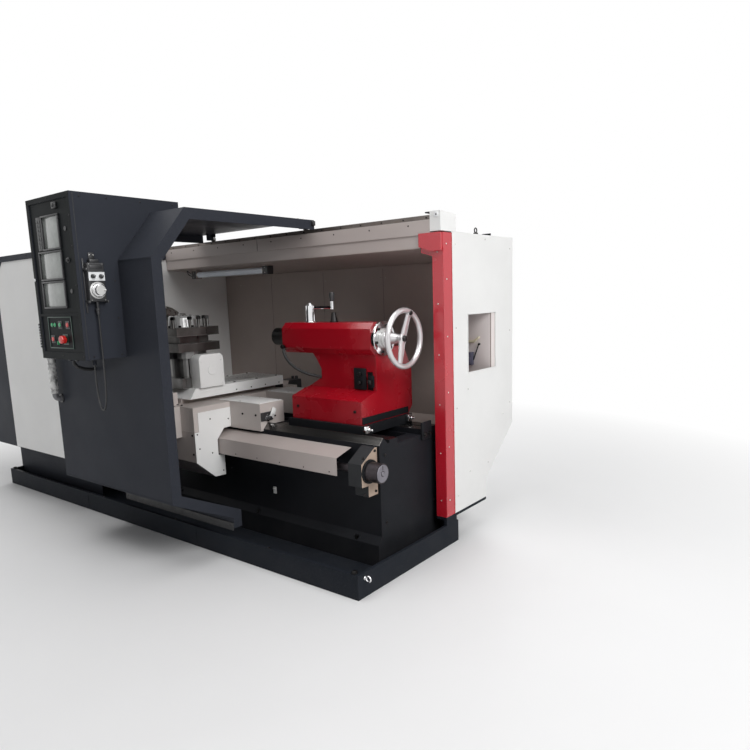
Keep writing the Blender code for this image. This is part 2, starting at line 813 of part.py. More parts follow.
def build_headstock():
    step_y = BED_FRONT + 2 * V_HALF + WAY_GROOVE / 2
    profile = [
        (BED_FRONT, V_APEX + GAP), (step_y, V_APEX + GAP), (step_y, WAY_Z + GAP),
        (BED_REAR, WAY_Z + GAP), (BED_REAR, HEAD_TOP - HEAD_CHAMFER),
        (BED_REAR - HEAD_CHAMFER, HEAD_TOP), (BED_FRONT + HEAD_CHAMFER, HEAD_TOP),
        (BED_FRONT, HEAD_TOP - HEAD_CHAMFER),
    ]
    casting = outline("headstock_casting", [profile], "X", HEAD_LEFT, HEAD_RIGHT, "black_casting")
    cut(casting,
        rod("spindle_hole", (HEAD_LEFT - OVERRUN, AXIS_Y, AXIS_Z), SPINDLE_RADIUS + RUN_GAP,
            HEAD_RIGHT - HEAD_LEFT + 2 * OVERRUN, "X", sides=SIDES),
        rod("bearing_hole", (HEAD_RIGHT - BEARING_DEPTH, AXIS_Y, AXIS_Z), BEARING_RADIUS + GAP,
            BEARING_DEPTH + OVERRUN, "X", sides=SIDES))
    turned("spindle_bearing", [
        (SPINDLE_RADIUS + RUN_GAP, BEARING_DEPTH + BEARING_FLANGE_THICK),
        (BEARING_FLANGE, BEARING_DEPTH + BEARING_FLANGE_THICK),
        (BEARING_FLANGE, BEARING_DEPTH), (BEARING_RADIUS, BEARING_DEPTH - GAP),
        (BEARING_RADIUS, GAP), (SPINDLE_RADIUS + RUN_GAP, GAP),
    ], (HEAD_RIGHT - BEARING_DEPTH + GAP, AXIS_Y, AXIS_Z), "X", "dark_steel", MEDIUM_SIDES)


def build_spindle():
    length = NOSE_END - SPINDLE_LEFT
    pulley_low = PULLEY_LEFT - SPINDLE_LEFT
    pulley_high = PULLEY_RIGHT - SPINDLE_LEFT
    profile = [
        (SPINDLE_BORE, length), (NOSE_RADIUS, length), (NOSE_RADIUS, length - NOSE_LENGTH),
        (SPINDLE_RADIUS, length - NOSE_LENGTH), (SPINDLE_RADIUS, pulley_high),
        (PULLEY_RADIUS + PULLEY_RIM, pulley_high),
        (PULLEY_RADIUS + PULLEY_RIM, pulley_high - PULLEY_FLANGE),
        (PULLEY_RADIUS, pulley_high - PULLEY_FLANGE), (PULLEY_RADIUS, pulley_low + PULLEY_FLANGE),
        (PULLEY_RADIUS + PULLEY_RIM, pulley_low + PULLEY_FLANGE),
        (PULLEY_RADIUS + PULLEY_RIM, pulley_low), (SPINDLE_RADIUS, pulley_low),
        (SPINDLE_RADIUS, 0), (SPINDLE_BORE, 0),
    ]
    turned("spindle", profile, (SPINDLE_LEFT, AXIS_Y, AXIS_Z), "X", "steel", MEDIUM_SIDES)


def build_chuck():
    profile = [
        (SPINDLE_BORE, CHUCK_LENGTH), (CHUCK_RADIUS - CHUCK_EDGE, CHUCK_LENGTH),
        (CHUCK_RADIUS, CHUCK_LENGTH - CHUCK_EDGE), (CHUCK_RADIUS, CHUCK_EDGE),
        (CHUCK_RADIUS - CHUCK_EDGE, 0), (SPINDLE_BORE, 0),
    ]
    chuck = turned("chuck_body", profile, (CHUCK_LEFT, AXIS_Y, AXIS_Z), "X", "steel")
    centre = Vector((CHUCK_LEFT, AXIS_Y, AXIS_Z))
    slot_half = JAW_WIDTH / 2 + GAP
    jaw_low = CHUCK_LENGTH - JAW_SLOT_DEPTH + GAP
    jaw_top = CHUCK_LENGTH + 2 * JAW_RISE
    for number in range(JAW_COUNT):
        angle = 2 * math.pi * number / JAW_COUNT
        place = Matrix.Translation(centre) @ Matrix.Rotation(angle, 4, 'X')
        slot = box("jaw_slot_%d" % (number + 1),
                   (CHUCK_LENGTH - JAW_SLOT_DEPTH, -slot_half, 0),
                   (CHUCK_LENGTH + OVERRUN, slot_half, CHUCK_RADIUS + OVERRUN))
        slot.matrix_world = place
        cut(chuck, slot)
        steps = [
            (jaw_low, JAW_INNER), (jaw_top, JAW_INNER), (jaw_top, JAW_INNER + JAW_STEP),
            (jaw_top - JAW_RISE, JAW_INNER + JAW_STEP),
            (jaw_top - JAW_RISE, JAW_INNER + 2 * JAW_STEP),
            (jaw_top - 2 * JAW_RISE + BITE, JAW_INNER + 2 * JAW_STEP),
            (jaw_top - 2 * JAW_RISE + BITE, JAW_OUTER), (jaw_low, JAW_OUTER),
        ]
        jaw = outline("chuck_jaw_%d" % (number + 1), [steps], "Y", -JAW_WIDTH / 2,
                      JAW_WIDTH / 2, "dark_steel")
        jaw.matrix_world = place


def guard_profile(inset, low):
    """The left guard's outline, drawn in by the sheet for its inner side."""
    front = GUARD_FRONT + inset
    rear = GUARD_REAR - inset
    top = GUARD_TOP - inset
    toe = GUARD_TOE_Y + inset
    return [
        (toe, low), (toe, GUARD_TOE_Z + inset / 2), (front, GUARD_LOWER_Z + inset / 2),
        (front, top - GUARD_CHAMFER), (front + GUARD_CHAMFER, top), (rear, top), (rear, low),
    ]


def build_left_guard():
    low = TRAY_FLOOR + GAP
    guard = outline("left_end_guard", [guard_profile(0, low)], "X", -HALF, COVER_RIGHT,
                    "slate_paint")
    cut(guard,
        outline("guard_inside", [guard_profile(SHEET, low - OVERRUN)], "X", -HALF + SHEET,
                COVER_RIGHT + OVERRUN),
        box("guard_upper_opening", (GUARD_RIGHT, GUARD_FRONT - OVERRUN, GUARD_LOWER_Z),
            (COVER_RIGHT + OVERRUN, GUARD_REAR + OVERRUN, GUARD_TOP + OVERRUN)),
        box("guard_rear_opening", (GUARD_RIGHT, GUARD_TOE_Y + OVERRUN, low - OVERRUN),
            (COVER_RIGHT + OVERRUN, GUARD_REAR + OVERRUN, GUARD_LOWER_Z + OVERRUN)),
        box("guard_rear_foot", (-HALF - OVERRUN, TRAY_DEPTH / 2 - TRAY_RIM - GAP, low - OVERRUN),
            (COVER_RIGHT + OVERRUN, GUARD_REAR + OVERRUN, SILL_Z + GAP)),
        box("guard_tray_end", (-HALF - OVERRUN, GUARD_TOE_Y - OVERRUN, low - OVERRUN),
            (-HALF + TRAY_RIM + GAP, GUARD_REAR, TRAY_HEIGHT + GAP)),
        rod("bar_hole", (-HALF - OVERRUN, AXIS_Y, AXIS_Z), BAR_HOLE, 2 * OVERRUN, "X",
            sides=MEDIUM_SIDES))
    join(guard, box("guard_roof", (-HALF, ROOF_FRONT, GUARD_TOP - BITE),
                    (COVER_RIGHT + ROOF_OVERHANG, ROOF_REAR, GUARD_TOP - BITE + ROOF_THICK)))
    cut(guard, box("roof_pan",
                   (-HALF + SHEET, GUARD_FRONT + GUARD_CHAMFER + OVERRUN, GUARD_TOP - SHEET - BITE),
                   (COVER_RIGHT + ROOF_OVERHANG - SHEET, ROOF_REAR - SHEET,
                    GUARD_TOP - BITE + ROOF_THICK - SHEET)))
    corner = [
        (GUARD_RIGHT - BITE, GUARD_TOP), (GUARD_RIGHT - BITE, GUARD_TOP - GUSSET),
        (GUARD_RIGHT + GUSSET, GUARD_TOP),
    ]
    join(guard, outline("guard_gusset", [corner], "Y", GUARD_FRONT - SHEET,
                        GUARD_FRONT - GAP))


def build_headstock_cover():
    top = GUARD_TOP - BITE - GAP
    left = GUARD_RIGHT + GAP
    angle_plan = [
        (left, GUARD_FRONT), (COVER_RIGHT, GUARD_FRONT), (COVER_RIGHT, WALL_Y - GAP),
        (COVER_RIGHT - SHEET, WALL_Y - GAP), (COVER_RIGHT - SHEET, GUARD_FRONT + SHEET),
        (left, GUARD_FRONT + SHEET),
    ]
    cover = outline("headstock_cover", [angle_plan], "Z", GUARD_LOWER_Z + GAP, top, "white_paint")
    cut(cover,
        box("cover_notch", (COVER_RIGHT - OVERRUN, COVER_NOTCH_FRONT, 0),
            (COVER_RIGHT + OVERRUN, COVER_NOTCH_REAR, COVER_NOTCH_TOP)),
        rod("nose_hole", (COVER_RIGHT - OVERRUN, AXIS_Y, AXIS_Z), COVER_HOLE, 2 * OVERRUN, "X",
            sides=SIDES))


def build_sill():
    low = SILL_Z - SILL_THICK
    end = HALF - SILL_INSET
    front = TRAY_DEPTH / 2 - SILL_LEG
    plan = [
        (-end, front), (POST_LEFT, front), (POST_LEFT, POST_FRONT), (HALF, POST_FRONT),
        (HALF, SILL_REAR), (CABINET_RIGHT + OVERRUN, SILL_REAR),
        (CABINET_RIGHT + OVERRUN, SILL_CABINET_REAR), (-end, SILL_CABINET_REAR),
    ]
    sill = outline("rear_sill", [plan], "Z", low, SILL_Z, "slate_paint")
    join(sill,
         box("sill_leg", (-end, front, TRAY_HEIGHT + GAP), (end, TRAY_DEPTH / 2, low + BITE)),
         box("sill_post_leg", (HALF - TRAY_RIM, POST_FRONT, TRAY_HEIGHT + GAP),
             (HALF, front + BITE, low + BITE)))


def build_drive():
    motor = rod("main_motor", (MOTOR_LEFT, MOTOR_Y, MOTOR_Z), MOTOR_RADIUS, MOTOR_LENGTH, "X",
                "slate_paint", sides=MEDIUM_SIDES)
    foot_left = MOTOR_LEFT + OVERRUN
    join(motor, box("motor_foot", (foot_left, MOTOR_Y - MOTOR_FOOT, SILL_Z + GAP),
                    (MOTOR_LEFT + MOTOR_LENGTH - OVERRUN, MOTOR_Y + MOTOR_FOOT, MOTOR_Z)))
    cut(motor, rod("motor_bore", (MOTOR_LEFT - OVERRUN, MOTOR_Y, MOTOR_Z), MOTOR_SHAFT + RUN_GAP,
                   MOTOR_BORE_DEPTH + OVERRUN, "X", sides=MEDIUM_SIDES))
    reach = MOTOR_LEFT + MOTOR_BORE_DEPTH - GAP - PULLEY_LEFT
    turned("motor_pulley", [
        (0, reach), (MOTOR_SHAFT, reach), (MOTOR_SHAFT, PULLEY_WIDTH),
        (MOTOR_PULLEY_RADIUS + PULLEY_RIM, PULLEY_WIDTH),
        (MOTOR_PULLEY_RADIUS + PULLEY_RIM, PULLEY_WIDTH - PULLEY_FLANGE),
        (MOTOR_PULLEY_RADIUS, PULLEY_WIDTH - PULLEY_FLANGE),
        (MOTOR_PULLEY_RADIUS, PULLEY_FLANGE), (MOTOR_PULLEY_RADIUS + PULLEY_RIM, PULLEY_FLANGE),
        (MOTOR_PULLEY_RADIUS + PULLEY_RIM, 0), (0, 0),
    ], (PULLEY_LEFT, MOTOR_Y, MOTOR_Z), "X", "dark_steel", MEDIUM_SIDES)
    middle = (PULLEY_LEFT + PULLEY_RIGHT) / 2
    outline("drive_belt", [belt_loop(RUN_GAP + BELT_THICK), belt_loop(RUN_GAP)], "X",
            middle - BELT_WIDTH / 2, middle + BELT_WIDTH / 2, "rubber")


def belt_loop(clear):
    """The closed path round both pulleys, at a distance clear of their grooves."""
    across = MOTOR_Y - AXIS_Y
    down = MOTOR_Z - AXIS_Z
    span = math.hypot(across, down)
    heading = math.degrees(math.atan2(down, across))
    wrap = math.degrees(math.acos((PULLEY_RADIUS - MOTOR_PULLEY_RADIUS) / span))
    large = arc((AXIS_Y, AXIS_Z), PULLEY_RADIUS + clear, heading + wrap,
                heading + 360 - wrap, MEDIUM_SIDES * 3 // 4)
    small = arc((MOTOR_Y, MOTOR_Z), MOTOR_PULLEY_RADIUS + clear, heading - wrap,
                heading + wrap, MEDIUM_SIDES // 2)
    return large + small


def build_long_screw():
    reach = BRACKET_RIGHT + GAP + BOSS_LENGTH - SCREW_LEFT
    boss = BRACKET_RIGHT + GAP - SCREW_LEFT
    turned("z_screw", [
        (0, reach), (BOSS_RADIUS, reach), (BOSS_RADIUS, boss), (SCREW_RADIUS, boss),
        (SCREW_RADIUS, 0), (0, 0),
    ], (SCREW_LEFT, SCREW_Y, SCREW_Z), "X", "steel", MEDIUM_SIDES)
    seat = BED_FRONT - GAP
    profile = [
        (seat, BRACKET_TOP), (seat - SADDLE_SKIRT, BRACKET_TOP - GAP),
        (BRACKET_FRONT, BRACKET_TOP - BRACKET_CROWN), (BRACKET_FRONT, BRACKET_LOW + BRACKET_FOOT),
        (BRACKET_FRONT + BRACKET_STEP, BRACKET_LOW + BRACKET_FOOT - BITE),
        (BRACKET_FRONT + BRACKET_STEP, BRACKET_LOW), (seat, BRACKET_LOW),
    ]
    bracket = outline("screw_end_bracket", [profile], "X", BRACKET_LEFT, BRACKET_RIGHT,
                      "tan_primer")
    cut(bracket, rod("bracket_bore", (BRACKET_LEFT - OVERRUN, SCREW_Y, SCREW_Z),
                     SCREW_RADIUS + RUN_GAP, BRACKET_RIGHT - BRACKET_LEFT + 2 * OVERRUN, "X",
                     sides=MEDIUM_SIDES))
    servo_right = SCREW_LEFT + SERVO_BORE_DEPTH - GAP
    servo = box("z_servo_motor",
                (servo_right - SERVO_LENGTH, SCREW_Y - SERVO_HEIGHT / 2, SCREW_Z - SERVO_HEIGHT / 2),
                (servo_right, seat, SCREW_Z + SERVO_HEIGHT / 2), "black_plastic")
    cut(servo, rod("servo_bore", (SCREW_LEFT - GAP, SCREW_Y, SCREW_Z), SCREW_RADIUS + RUN_GAP,
                   SERVO_BORE_DEPTH + OVERRUN, "X", sides=MEDIUM_SIDES))
    outer = [(seat, SCREW_COVER_REAR_Z), (SCREW_COVER_FRONT, SCREW_COVER_FRONT_Z),
             (SCREW_COVER_FRONT, SCREW_COVER_LOW)]
    inner = offset_path(outer, GUARD_PLATE)
    inner[0] = (seat, SCREW_COVER_REAR_Z - GUARD_PLATE)
    outline("screw_cover", [outer + inner[::-1]], "X", SCREW_COVER_LEFT, SCREW_COVER_RIGHT,
            "cream_paint")


def build_header():
    crease = HEADER_FRONT + HEADER_CREASE
    profile = [
        (crease, HEADER_LOW), (HEADER_REAR, HEADER_LOW), (HEADER_REAR, HEADER_TOP),
        (HEADER_FRONT, HEADER_TOP), (HEADER_FRONT, HEADER_CREASE_Z), (crease, HEADER_CREASE_Z),
    ]
    beam = outline("header_beam", [profile], "X", COVER_RIGHT + GAP, END_BLOCK_LEFT - GAP,
                   "cream_paint")
    join(beam, box("header_left", (-HALF, HEADER_FRONT, GUARD_TOP + GAP),
                   (COVER_RIGHT + BITE, HEADER_REAR, HEADER_TOP)))
    box("guide_rail", (-HALF + SILL_INSET, RAIL_FRONT, HEADER_TOP + GAP),
        (END_BLOCK_LEFT - GAP, RAIL_REAR, RAIL_TOP), "dark_rail")
    block = [
        (HEADER_FRONT, END_BLOCK_LOW), (HEADER_REAR, END_BLOCK_LOW),
        (HEADER_REAR, END_BLOCK_TOP - END_BLOCK_SLOPE), (HEADER_FRONT, END_BLOCK_TOP),
    ]
    outline("header_end_block", [block], "X", END_BLOCK_LEFT, HALF, "white_paint")


def build_post():
    gusset_low = POST_HEAD_LOW - POST_HEAD_GUSSET
    under_beam = HEADER_LOW - GAP
    front_view = [
        (POST_LEFT, SILL_Z + GAP), (HALF, SILL_Z + GAP), (HALF, POST_TOP),
        (END_BLOCK_LEFT, POST_TOP), (END_BLOCK_LEFT, under_beam), (POST_HEAD_LEFT, under_beam),
        (POST_HEAD_LEFT, under_beam - POST_HEAD_GUSSET), (POST_LEFT, gusset_low - POST_HEAD_GUSSET),
    ]
    post = outline("corner_post", [front_view], "Y", POST_FRONT, POST_REAR, "red_paint")
    face = [
        (POST_HEAD_LEFT, POST_HEAD_LOW), (POST_LEFT, gusset_low), (HALF, gusset_low),
        (HALF, POST_TOP), (POST_HEAD_LEFT, POST_TOP),
    ]
    plate = outline("post_head_face", [face], "Y", HEADER_FRONT - SHEET, HEADER_FRONT - GAP)
    join(plate, box("post_head_block",
                    (END_BLOCK_LEFT + BITE, HEADER_FRONT - SHEET / 2, gusset_low + BITE),
                    (HALF - BITE, POST_FRONT + BITE, POST_TOP - BITE)))
    join(post, plate)


def build_enclosure():
    seat = SILL_Z + GAP
    panel = [
        (POST_REAR + GAP, seat), (SILL_REAR, seat), (ENCLOSURE_TOE_Y, ENCLOSURE_TOE_Z),
        (ENCLOSURE_REAR, ENCLOSURE_KNEE_Z), (ENCLOSURE_REAR, ENCLOSURE_TOP),
        (HEADER_REAR + GAP, ENCLOSURE_TOP), (HEADER_REAR + GAP, END_BLOCK_LOW - GAP),
        (POST_REAR + GAP, END_BLOCK_LOW - GAP),
    ]
    window = [
        (SIDE_WINDOW_FRONT, SIDE_WINDOW_LOW), (SIDE_WINDOW_FRONT, SIDE_WINDOW_TOP),
        (SIDE_WINDOW_REAR, SIDE_WINDOW_TOP), (SIDE_WINDOW_REAR, SIDE_WINDOW_LOW),
    ]
    outline("right_side_panel", [panel, window], "X", HALF - SHEET, HALF, "white_paint")
    left = CABINET_RIGHT + GAP
    right = HALF - SHEET - GAP
    shell = [
        (SILL_REAR, seat), (ENCLOSURE_TOE_Y, ENCLOSURE_TOE_Z), (ENCLOSURE_REAR, ENCLOSURE_KNEE_Z),
        (ENCLOSURE_REAR, ENCLOSURE_TOP), (HEADER_REAR + GAP, ENCLOSURE_TOP),
    ]
    inner = offset_path(shell, SHEET)
    cover = outline("rear_cover", [shell + inner[::-1]], "X", left, right, "white_paint")
    join(cover, box("motor_bay_roof", (-HALF, HEADER_REAR + GAP, ENCLOSURE_TOP - SHEET + BITE / 2),
                    (left + SHEET, ENCLOSURE_REAR, ENCLOSURE_TOP)))
    wall = [(WALL_Y, WALL_TOP), (WALL_Y, WALL_KNEE_Z), (WALL_TOE_Y, WALL_TOE_Z)]
    back = offset_path(wall, WALL_THICK)
    outline("back_wall", [wall + back[::-1]], "X", COVER_RIGHT + GAP, right, "cream_paint")


def build_soffit_and_lamp():
    left = COVER_RIGHT + GAP
    front = HEADER_FRONT + HEADER_CREASE
    profile = [
        (front, SOFFIT_FRONT_Z), (front, SOFFIT_FRONT_Z - WALL_THICK),
        (WALL_Y + WALL_THICK, SOFFIT_REAR_Z - WALL_THICK), (WALL_Y + WALL_THICK, SOFFIT_REAR_Z),
    ]
    soffit = outline("soffit_panel", [profile], "X", left, POST_HEAD_LEFT - GAP, "cream_paint")
    slope = (SOFFIT_REAR_Z - SOFFIT_FRONT_Z) / (WALL_Y + WALL_THICK - front)
    cap_top = SOFFIT_FRONT_Z + slope * (LAMP_Y - front) - WALL_THICK + BITE / 2
    for name, start in (("lamp_cap_left", LAMP_LEFT - LAMP_CAP),
                        ("lamp_cap_right", LAMP_LEFT + LAMP_LENGTH)):
        join(soffit, box(name, (start, LAMP_Y - LAMP_CAP_HALF, LAMP_Z - LAMP_CAP_HALF),
                         (start + LAMP_CAP, LAMP_Y + LAMP_CAP_HALF, cap_top)))
    rod("lamp_tube", (LAMP_LEFT + GAP, LAMP_Y, LAMP_Z), LAMP_RADIUS, LAMP_LENGTH - 2 * GAP, "X",
        "lamp_glass", sides=MEDIUM_SIDES // 2)


def build_cabinet():
    low = SILL_Z + GAP
    rear = ENCLOSURE_REAR - CABINET_DOOR_THICK - GAP
    cabinet = box("electrical_cabinet", (CABINET_LEFT, CABINET_FRONT, low),
                  (CABINET_RIGHT, rear, CABINET_TOP), "cream_paint")
    rack_rear = CABINET_FRONT + SHEET + RACK_DEPTH
    cut(cabinet, box("cabinet_inside",
                     (CABINET_LEFT + SHEET, CABINET_FRONT + SHEET, low + SHEET),
                     (CABINET_RIGHT - SHEET, rear + OVERRUN, CABINET_TOP - SHEET)))
    span = CABINET_RIGHT - CABINET_LEFT - 2 * RACK_MARGIN
    pitch = span / DRIVE_COUNT
    for number in range(DRIVE_COUNT):
        left = CABINET_LEFT + RACK_MARGIN + number * pitch
        drive_low = CABINET_TOP - RACK_MARGIN - DRIVE_HEIGHT * (1 + number % 2 * TALL_DRIVE_SHARE)
        join(cabinet, box("drive_unit_%d" % number,
                          (left, CABINET_FRONT + SHEET - BITE, drive_low),
                          (left + pitch - RACK_MARGIN, rack_rear, CABINET_TOP - RACK_MARGIN)))
    door_low = low + CABINET_EDGE
    door = box("cabinet_door",
               (CABINET_LEFT + CABINET_EDGE, rear + GAP, door_low),
               (CABINET_RIGHT - CABINET_EDGE, ENCLOSURE_REAR, CABINET_TOP - CABINET_EDGE),
               "cream_paint")
    set_origin(door, (CABINET_LEFT + CABINET_EDGE, ENCLOSURE_REAR, door_low))
    latch_x = CABINET_RIGHT - CABINET_EDGE - RACK_MARGIN
    cut(door, rod("latch_cup", (latch_x, ENCLOSURE_REAR - LATCH_DEPTH / 2, (low + CABINET_TOP) / 2),
                  LATCH_RADIUS, OVERRUN, "Y"))


def hood_path():
    return [
        (HOOD_REAR, HOOD_TOP), (HOOD_KNEE_Y, HOOD_TOP), (HOOD_FRONT, HOOD_SHOULDER_Z),
        (HOOD_FRONT, HOOD_WAIST_Z), (HOOD_TOE_Y, HOOD_TOE_Z), (HOOD_TOE_Y, HOOD_LIP_Z),
    ]


def build_hood():
    outer = hood_path()
    band = offset_path(outer, HOOD_FLANGE)
    hood = outline("sliding_hood", [outer + band[::-1]], "X", HOOD_LEFT, HOOD_RIGHT, "slate_paint")
    skin = offset_path(outer, SHEET)
    deep = offset_path(outer, HOOD_FLANGE + OVERRUN)
    skin[0] = (skin[0][0] + OVERRUN, skin[0][1])
    deep[0] = (deep[0][0] + OVERRUN, deep[0][1])
    skin[-1] = (skin[-1][0], skin[-1][1] - OVERRUN)
    deep[-1] = (deep[-1][0], deep[-1][1] - OVERRUN)
    cut(hood, outline("hood_inside", [skin + deep[::-1]], "X", HOOD_LEFT + SHEET,
                      HOOD_RIGHT - SHEET))
    for name, middle in (("left", HOOD_LEFT + ROLLER_INSET), ("right", HOOD_RIGHT - ROLLER_INSET)):
        half = AXLE_BLOCK / 2
        block_rear = HOOD_REAR - BITE
        join(hood,
             box("axle_block_" + name, (middle - half, block_rear - AXLE_BLOCK_DEPTH,
                                        ROLLER_Z - half), (middle + half, block_rear,
                                                           HOOD_TOP - BITE)),
             rod("axle_" + name, (middle, block_rear - BITE, ROLLER_Z), AXLE_RADIUS,
                 ROLLER_Y + ROLLER_WIDTH - block_rear + BITE, "Y"))
        turned("door_roller_" + name, [
            (AXLE_RADIUS + RUN_GAP, ROLLER_WIDTH), (ROLLER_RADIUS, ROLLER_WIDTH),
            (ROLLER_RADIUS, 0), (AXLE_RADIUS + RUN_GAP, 0),
        ], (middle, ROLLER_Y, ROLLER_Z), "Y", "dark_steel", 24)


def build_console():
    shoulder = offset_path(hood_path()[:4], -GAP)
    top_y = CONSOLE_REAR
    profile = [
        (CONSOLE_FRONT, CONSOLE_LOW), (CONSOLE_FRONT, CONSOLE_TOP), (top_y, CONSOLE_TOP),
        (top_y, shoulder[0][1]), shoulder[1], shoulder[2], (shoulder[3][0], CONSOLE_LOW),
    ]
    console = outline("console_box", [profile], "X", CONSOLE_LEFT, CONSOLE_RIGHT, "slate_paint")
    edge = CONSOLE_BORDER
    cut(console,
        box("screen_recess", (CONSOLE_LEFT + edge, CONSOLE_FRONT - OVERRUN, PANEL_DIVIDE_Z),
            (CONSOLE_RIGHT - edge, PANEL_Y, CONSOLE_TOP - edge)),
        box("button_recess", (CONSOLE_LEFT + edge, CONSOLE_FRONT - OVERRUN, PANEL_LOW),
            (CONSOLE_RIGHT - edge, PANEL_Y, PANEL_DIVIDE_Z - edge / 2)))
    join(console, rod("cable_gland", (GLAND_X, GLAND_Y, CONSOLE_LOW - GLAND_LENGTH), GLAND_RADIUS,
                      GLAND_LENGTH + BITE, "Z", sides=12))
    buttons = (("start_button", START_X, BUTTON_ROW_Z, "green_plastic"),
               ("stop_button", STOP_X, BUTTON_ROW_Z, "red_plastic"),
               ("feed_hold_button", HOLD_X, BUTTON_LOW_Z, "red_plastic"))
    for name, x, z, paint in buttons:
        cut(console, rod(name + "_hole", (x, PANEL_Y - OVERRUN, z), BUTTON_RADIUS + RUN_GAP,
                         OVERRUN + BUTTON_HOLE_DEPTH, "Y"))
        front = PANEL_Y - BUTTON_STAND
        turned(name, [
            (0, BUTTON_STAND + BUTTON_DEPTH), (BUTTON_RADIUS, BUTTON_STAND + BUTTON_DEPTH),
            (BUTTON_RADIUS, BITE), (BUTTON_RADIUS - BITE, 0), (0, 0),
        ], (x, front, z), "Y", paint, SMALL_SIDES)
    cut(console, rod("emergency_stop_hole", (ESTOP_X, PANEL_Y - OVERRUN, BUTTON_LOW_Z),
                     BUTTON_RADIUS + RUN_GAP, OVERRUN + BUTTON_HOLE_DEPTH, "Y"))
    reach = ESTOP_HEAD_THICK + ESTOP_STAND + BUTTON_DEPTH
    turned("emergency_stop", [
        (0, reach), (BUTTON_RADIUS, reach), (BUTTON_RADIUS, ESTOP_HEAD_THICK),
        (ESTOP_HEAD, ESTOP_HEAD_THICK), (ESTOP_HEAD, ESTOP_STAND), (ESTOP_HEAD - BITE, BITE),
        (ESTOP_HEAD / 2, 0), (0, 0),
    ], (ESTOP_X, PANEL_Y - ESTOP_STAND - ESTOP_HEAD_THICK, BUTTON_LOW_Z), "Y", "red_plastic",
        24)


def build_handle():
    surface = HOOD_FRONT - GAP
    bar_y = HOOD_FRONT - HANDLE_STAND
    points = [(HANDLE_X, surface, HANDLE_LOW)]
    low_bend = arc((bar_y + HANDLE_BEND, HANDLE_LOW + HANDLE_BEND), HANDLE_BEND, 270, 180,
                   HANDLE_STEPS)
    high_bend = arc((bar_y + HANDLE_BEND, HANDLE_TOP - HANDLE_BEND), HANDLE_BEND, 180, 90,
                    HANDLE_STEPS)
    points += [(HANDLE_X, y, z) for y, z in low_bend + high_bend]
    points.append((HANDLE_X, surface, HANDLE_TOP))
    tube("hood_handle", points, HANDLE_RADIUS, "grey_tube")


def build_pendant():
    low = CONSOLE_RIGHT + GAP
    pendant = box("pendant_body", (low, PENDANT_FRONT, PENDANT_LOW),
                  (PENDANT_FACE, PENDANT_FRONT + PENDANT_WIDTH, PENDANT_LOW + PENDANT_HEIGHT),
                  "black_plastic")
    bevel = pendant.modifiers.new("Rounding", 'BEVEL')
    bevel.width = PENDANT_ROUND / 2
    bevel.segments = 2
    cable_x = CABLE_ROUTE[0][0]
    cable_y = CABLE_ROUTE[0][1]
    join(pendant, rod("relief", (cable_x, cable_y, PENDANT_LOW - RELIEF_LENGTH),
                      CABLE_RADIUS + BITE / 2, RELIEF_LENGTH + BITE, "Z", sides=12,
                      end_radius=RELIEF_RADIUS))
    grip = WHEEL_THICK + WHEEL_GRIP
    wheel = turned("pendant_wheel", [
        (0, WHEEL_THICK), (WHEEL_RADIUS - BITE, WHEEL_THICK), (WHEEL_RADIUS, WHEEL_THICK - BITE),
        (WHEEL_RADIUS, 0), (0, 0),
    ], (PENDANT_FACE + GAP, WHEEL_Y, WHEEL_Z), "X", "chrome", MEDIUM_SIDES)
    join(wheel, rod("wheel_crank", (PENDANT_FACE + GAP + BITE, WHEEL_Y,
                                    WHEEL_Z + WHEEL_RADIUS - 2 * WHEEL_GRIP), WHEEL_GRIP,
                    grip - BITE, "X"))
    for number, side in ((1, -1), (2, 1)):
        centre = (PENDANT_FACE + GAP, WHEEL_Y + side * KNOB_SPACING / 2, KNOB_Z)
        knob = rod("pendant_knob_%d" % number, centre, KNOB_RADIUS, KNOB_THICK, "X",
                   "black_plastic", sides=12)
        set_origin(knob, centre)
        join(knob, box("knob_rib_%d" % number,
                       (centre[0] + BITE, centre[1] - BITE, centre[2] - KNOB_RADIUS),
                       (centre[0] + KNOB_THICK + BITE, centre[1] + BITE, centre[2] + KNOB_RADIUS)))
    tube("pendant_cable", smooth_route(CABLE_ROUTE, CABLE_STEPS), CABLE_RADIUS, "rubber")


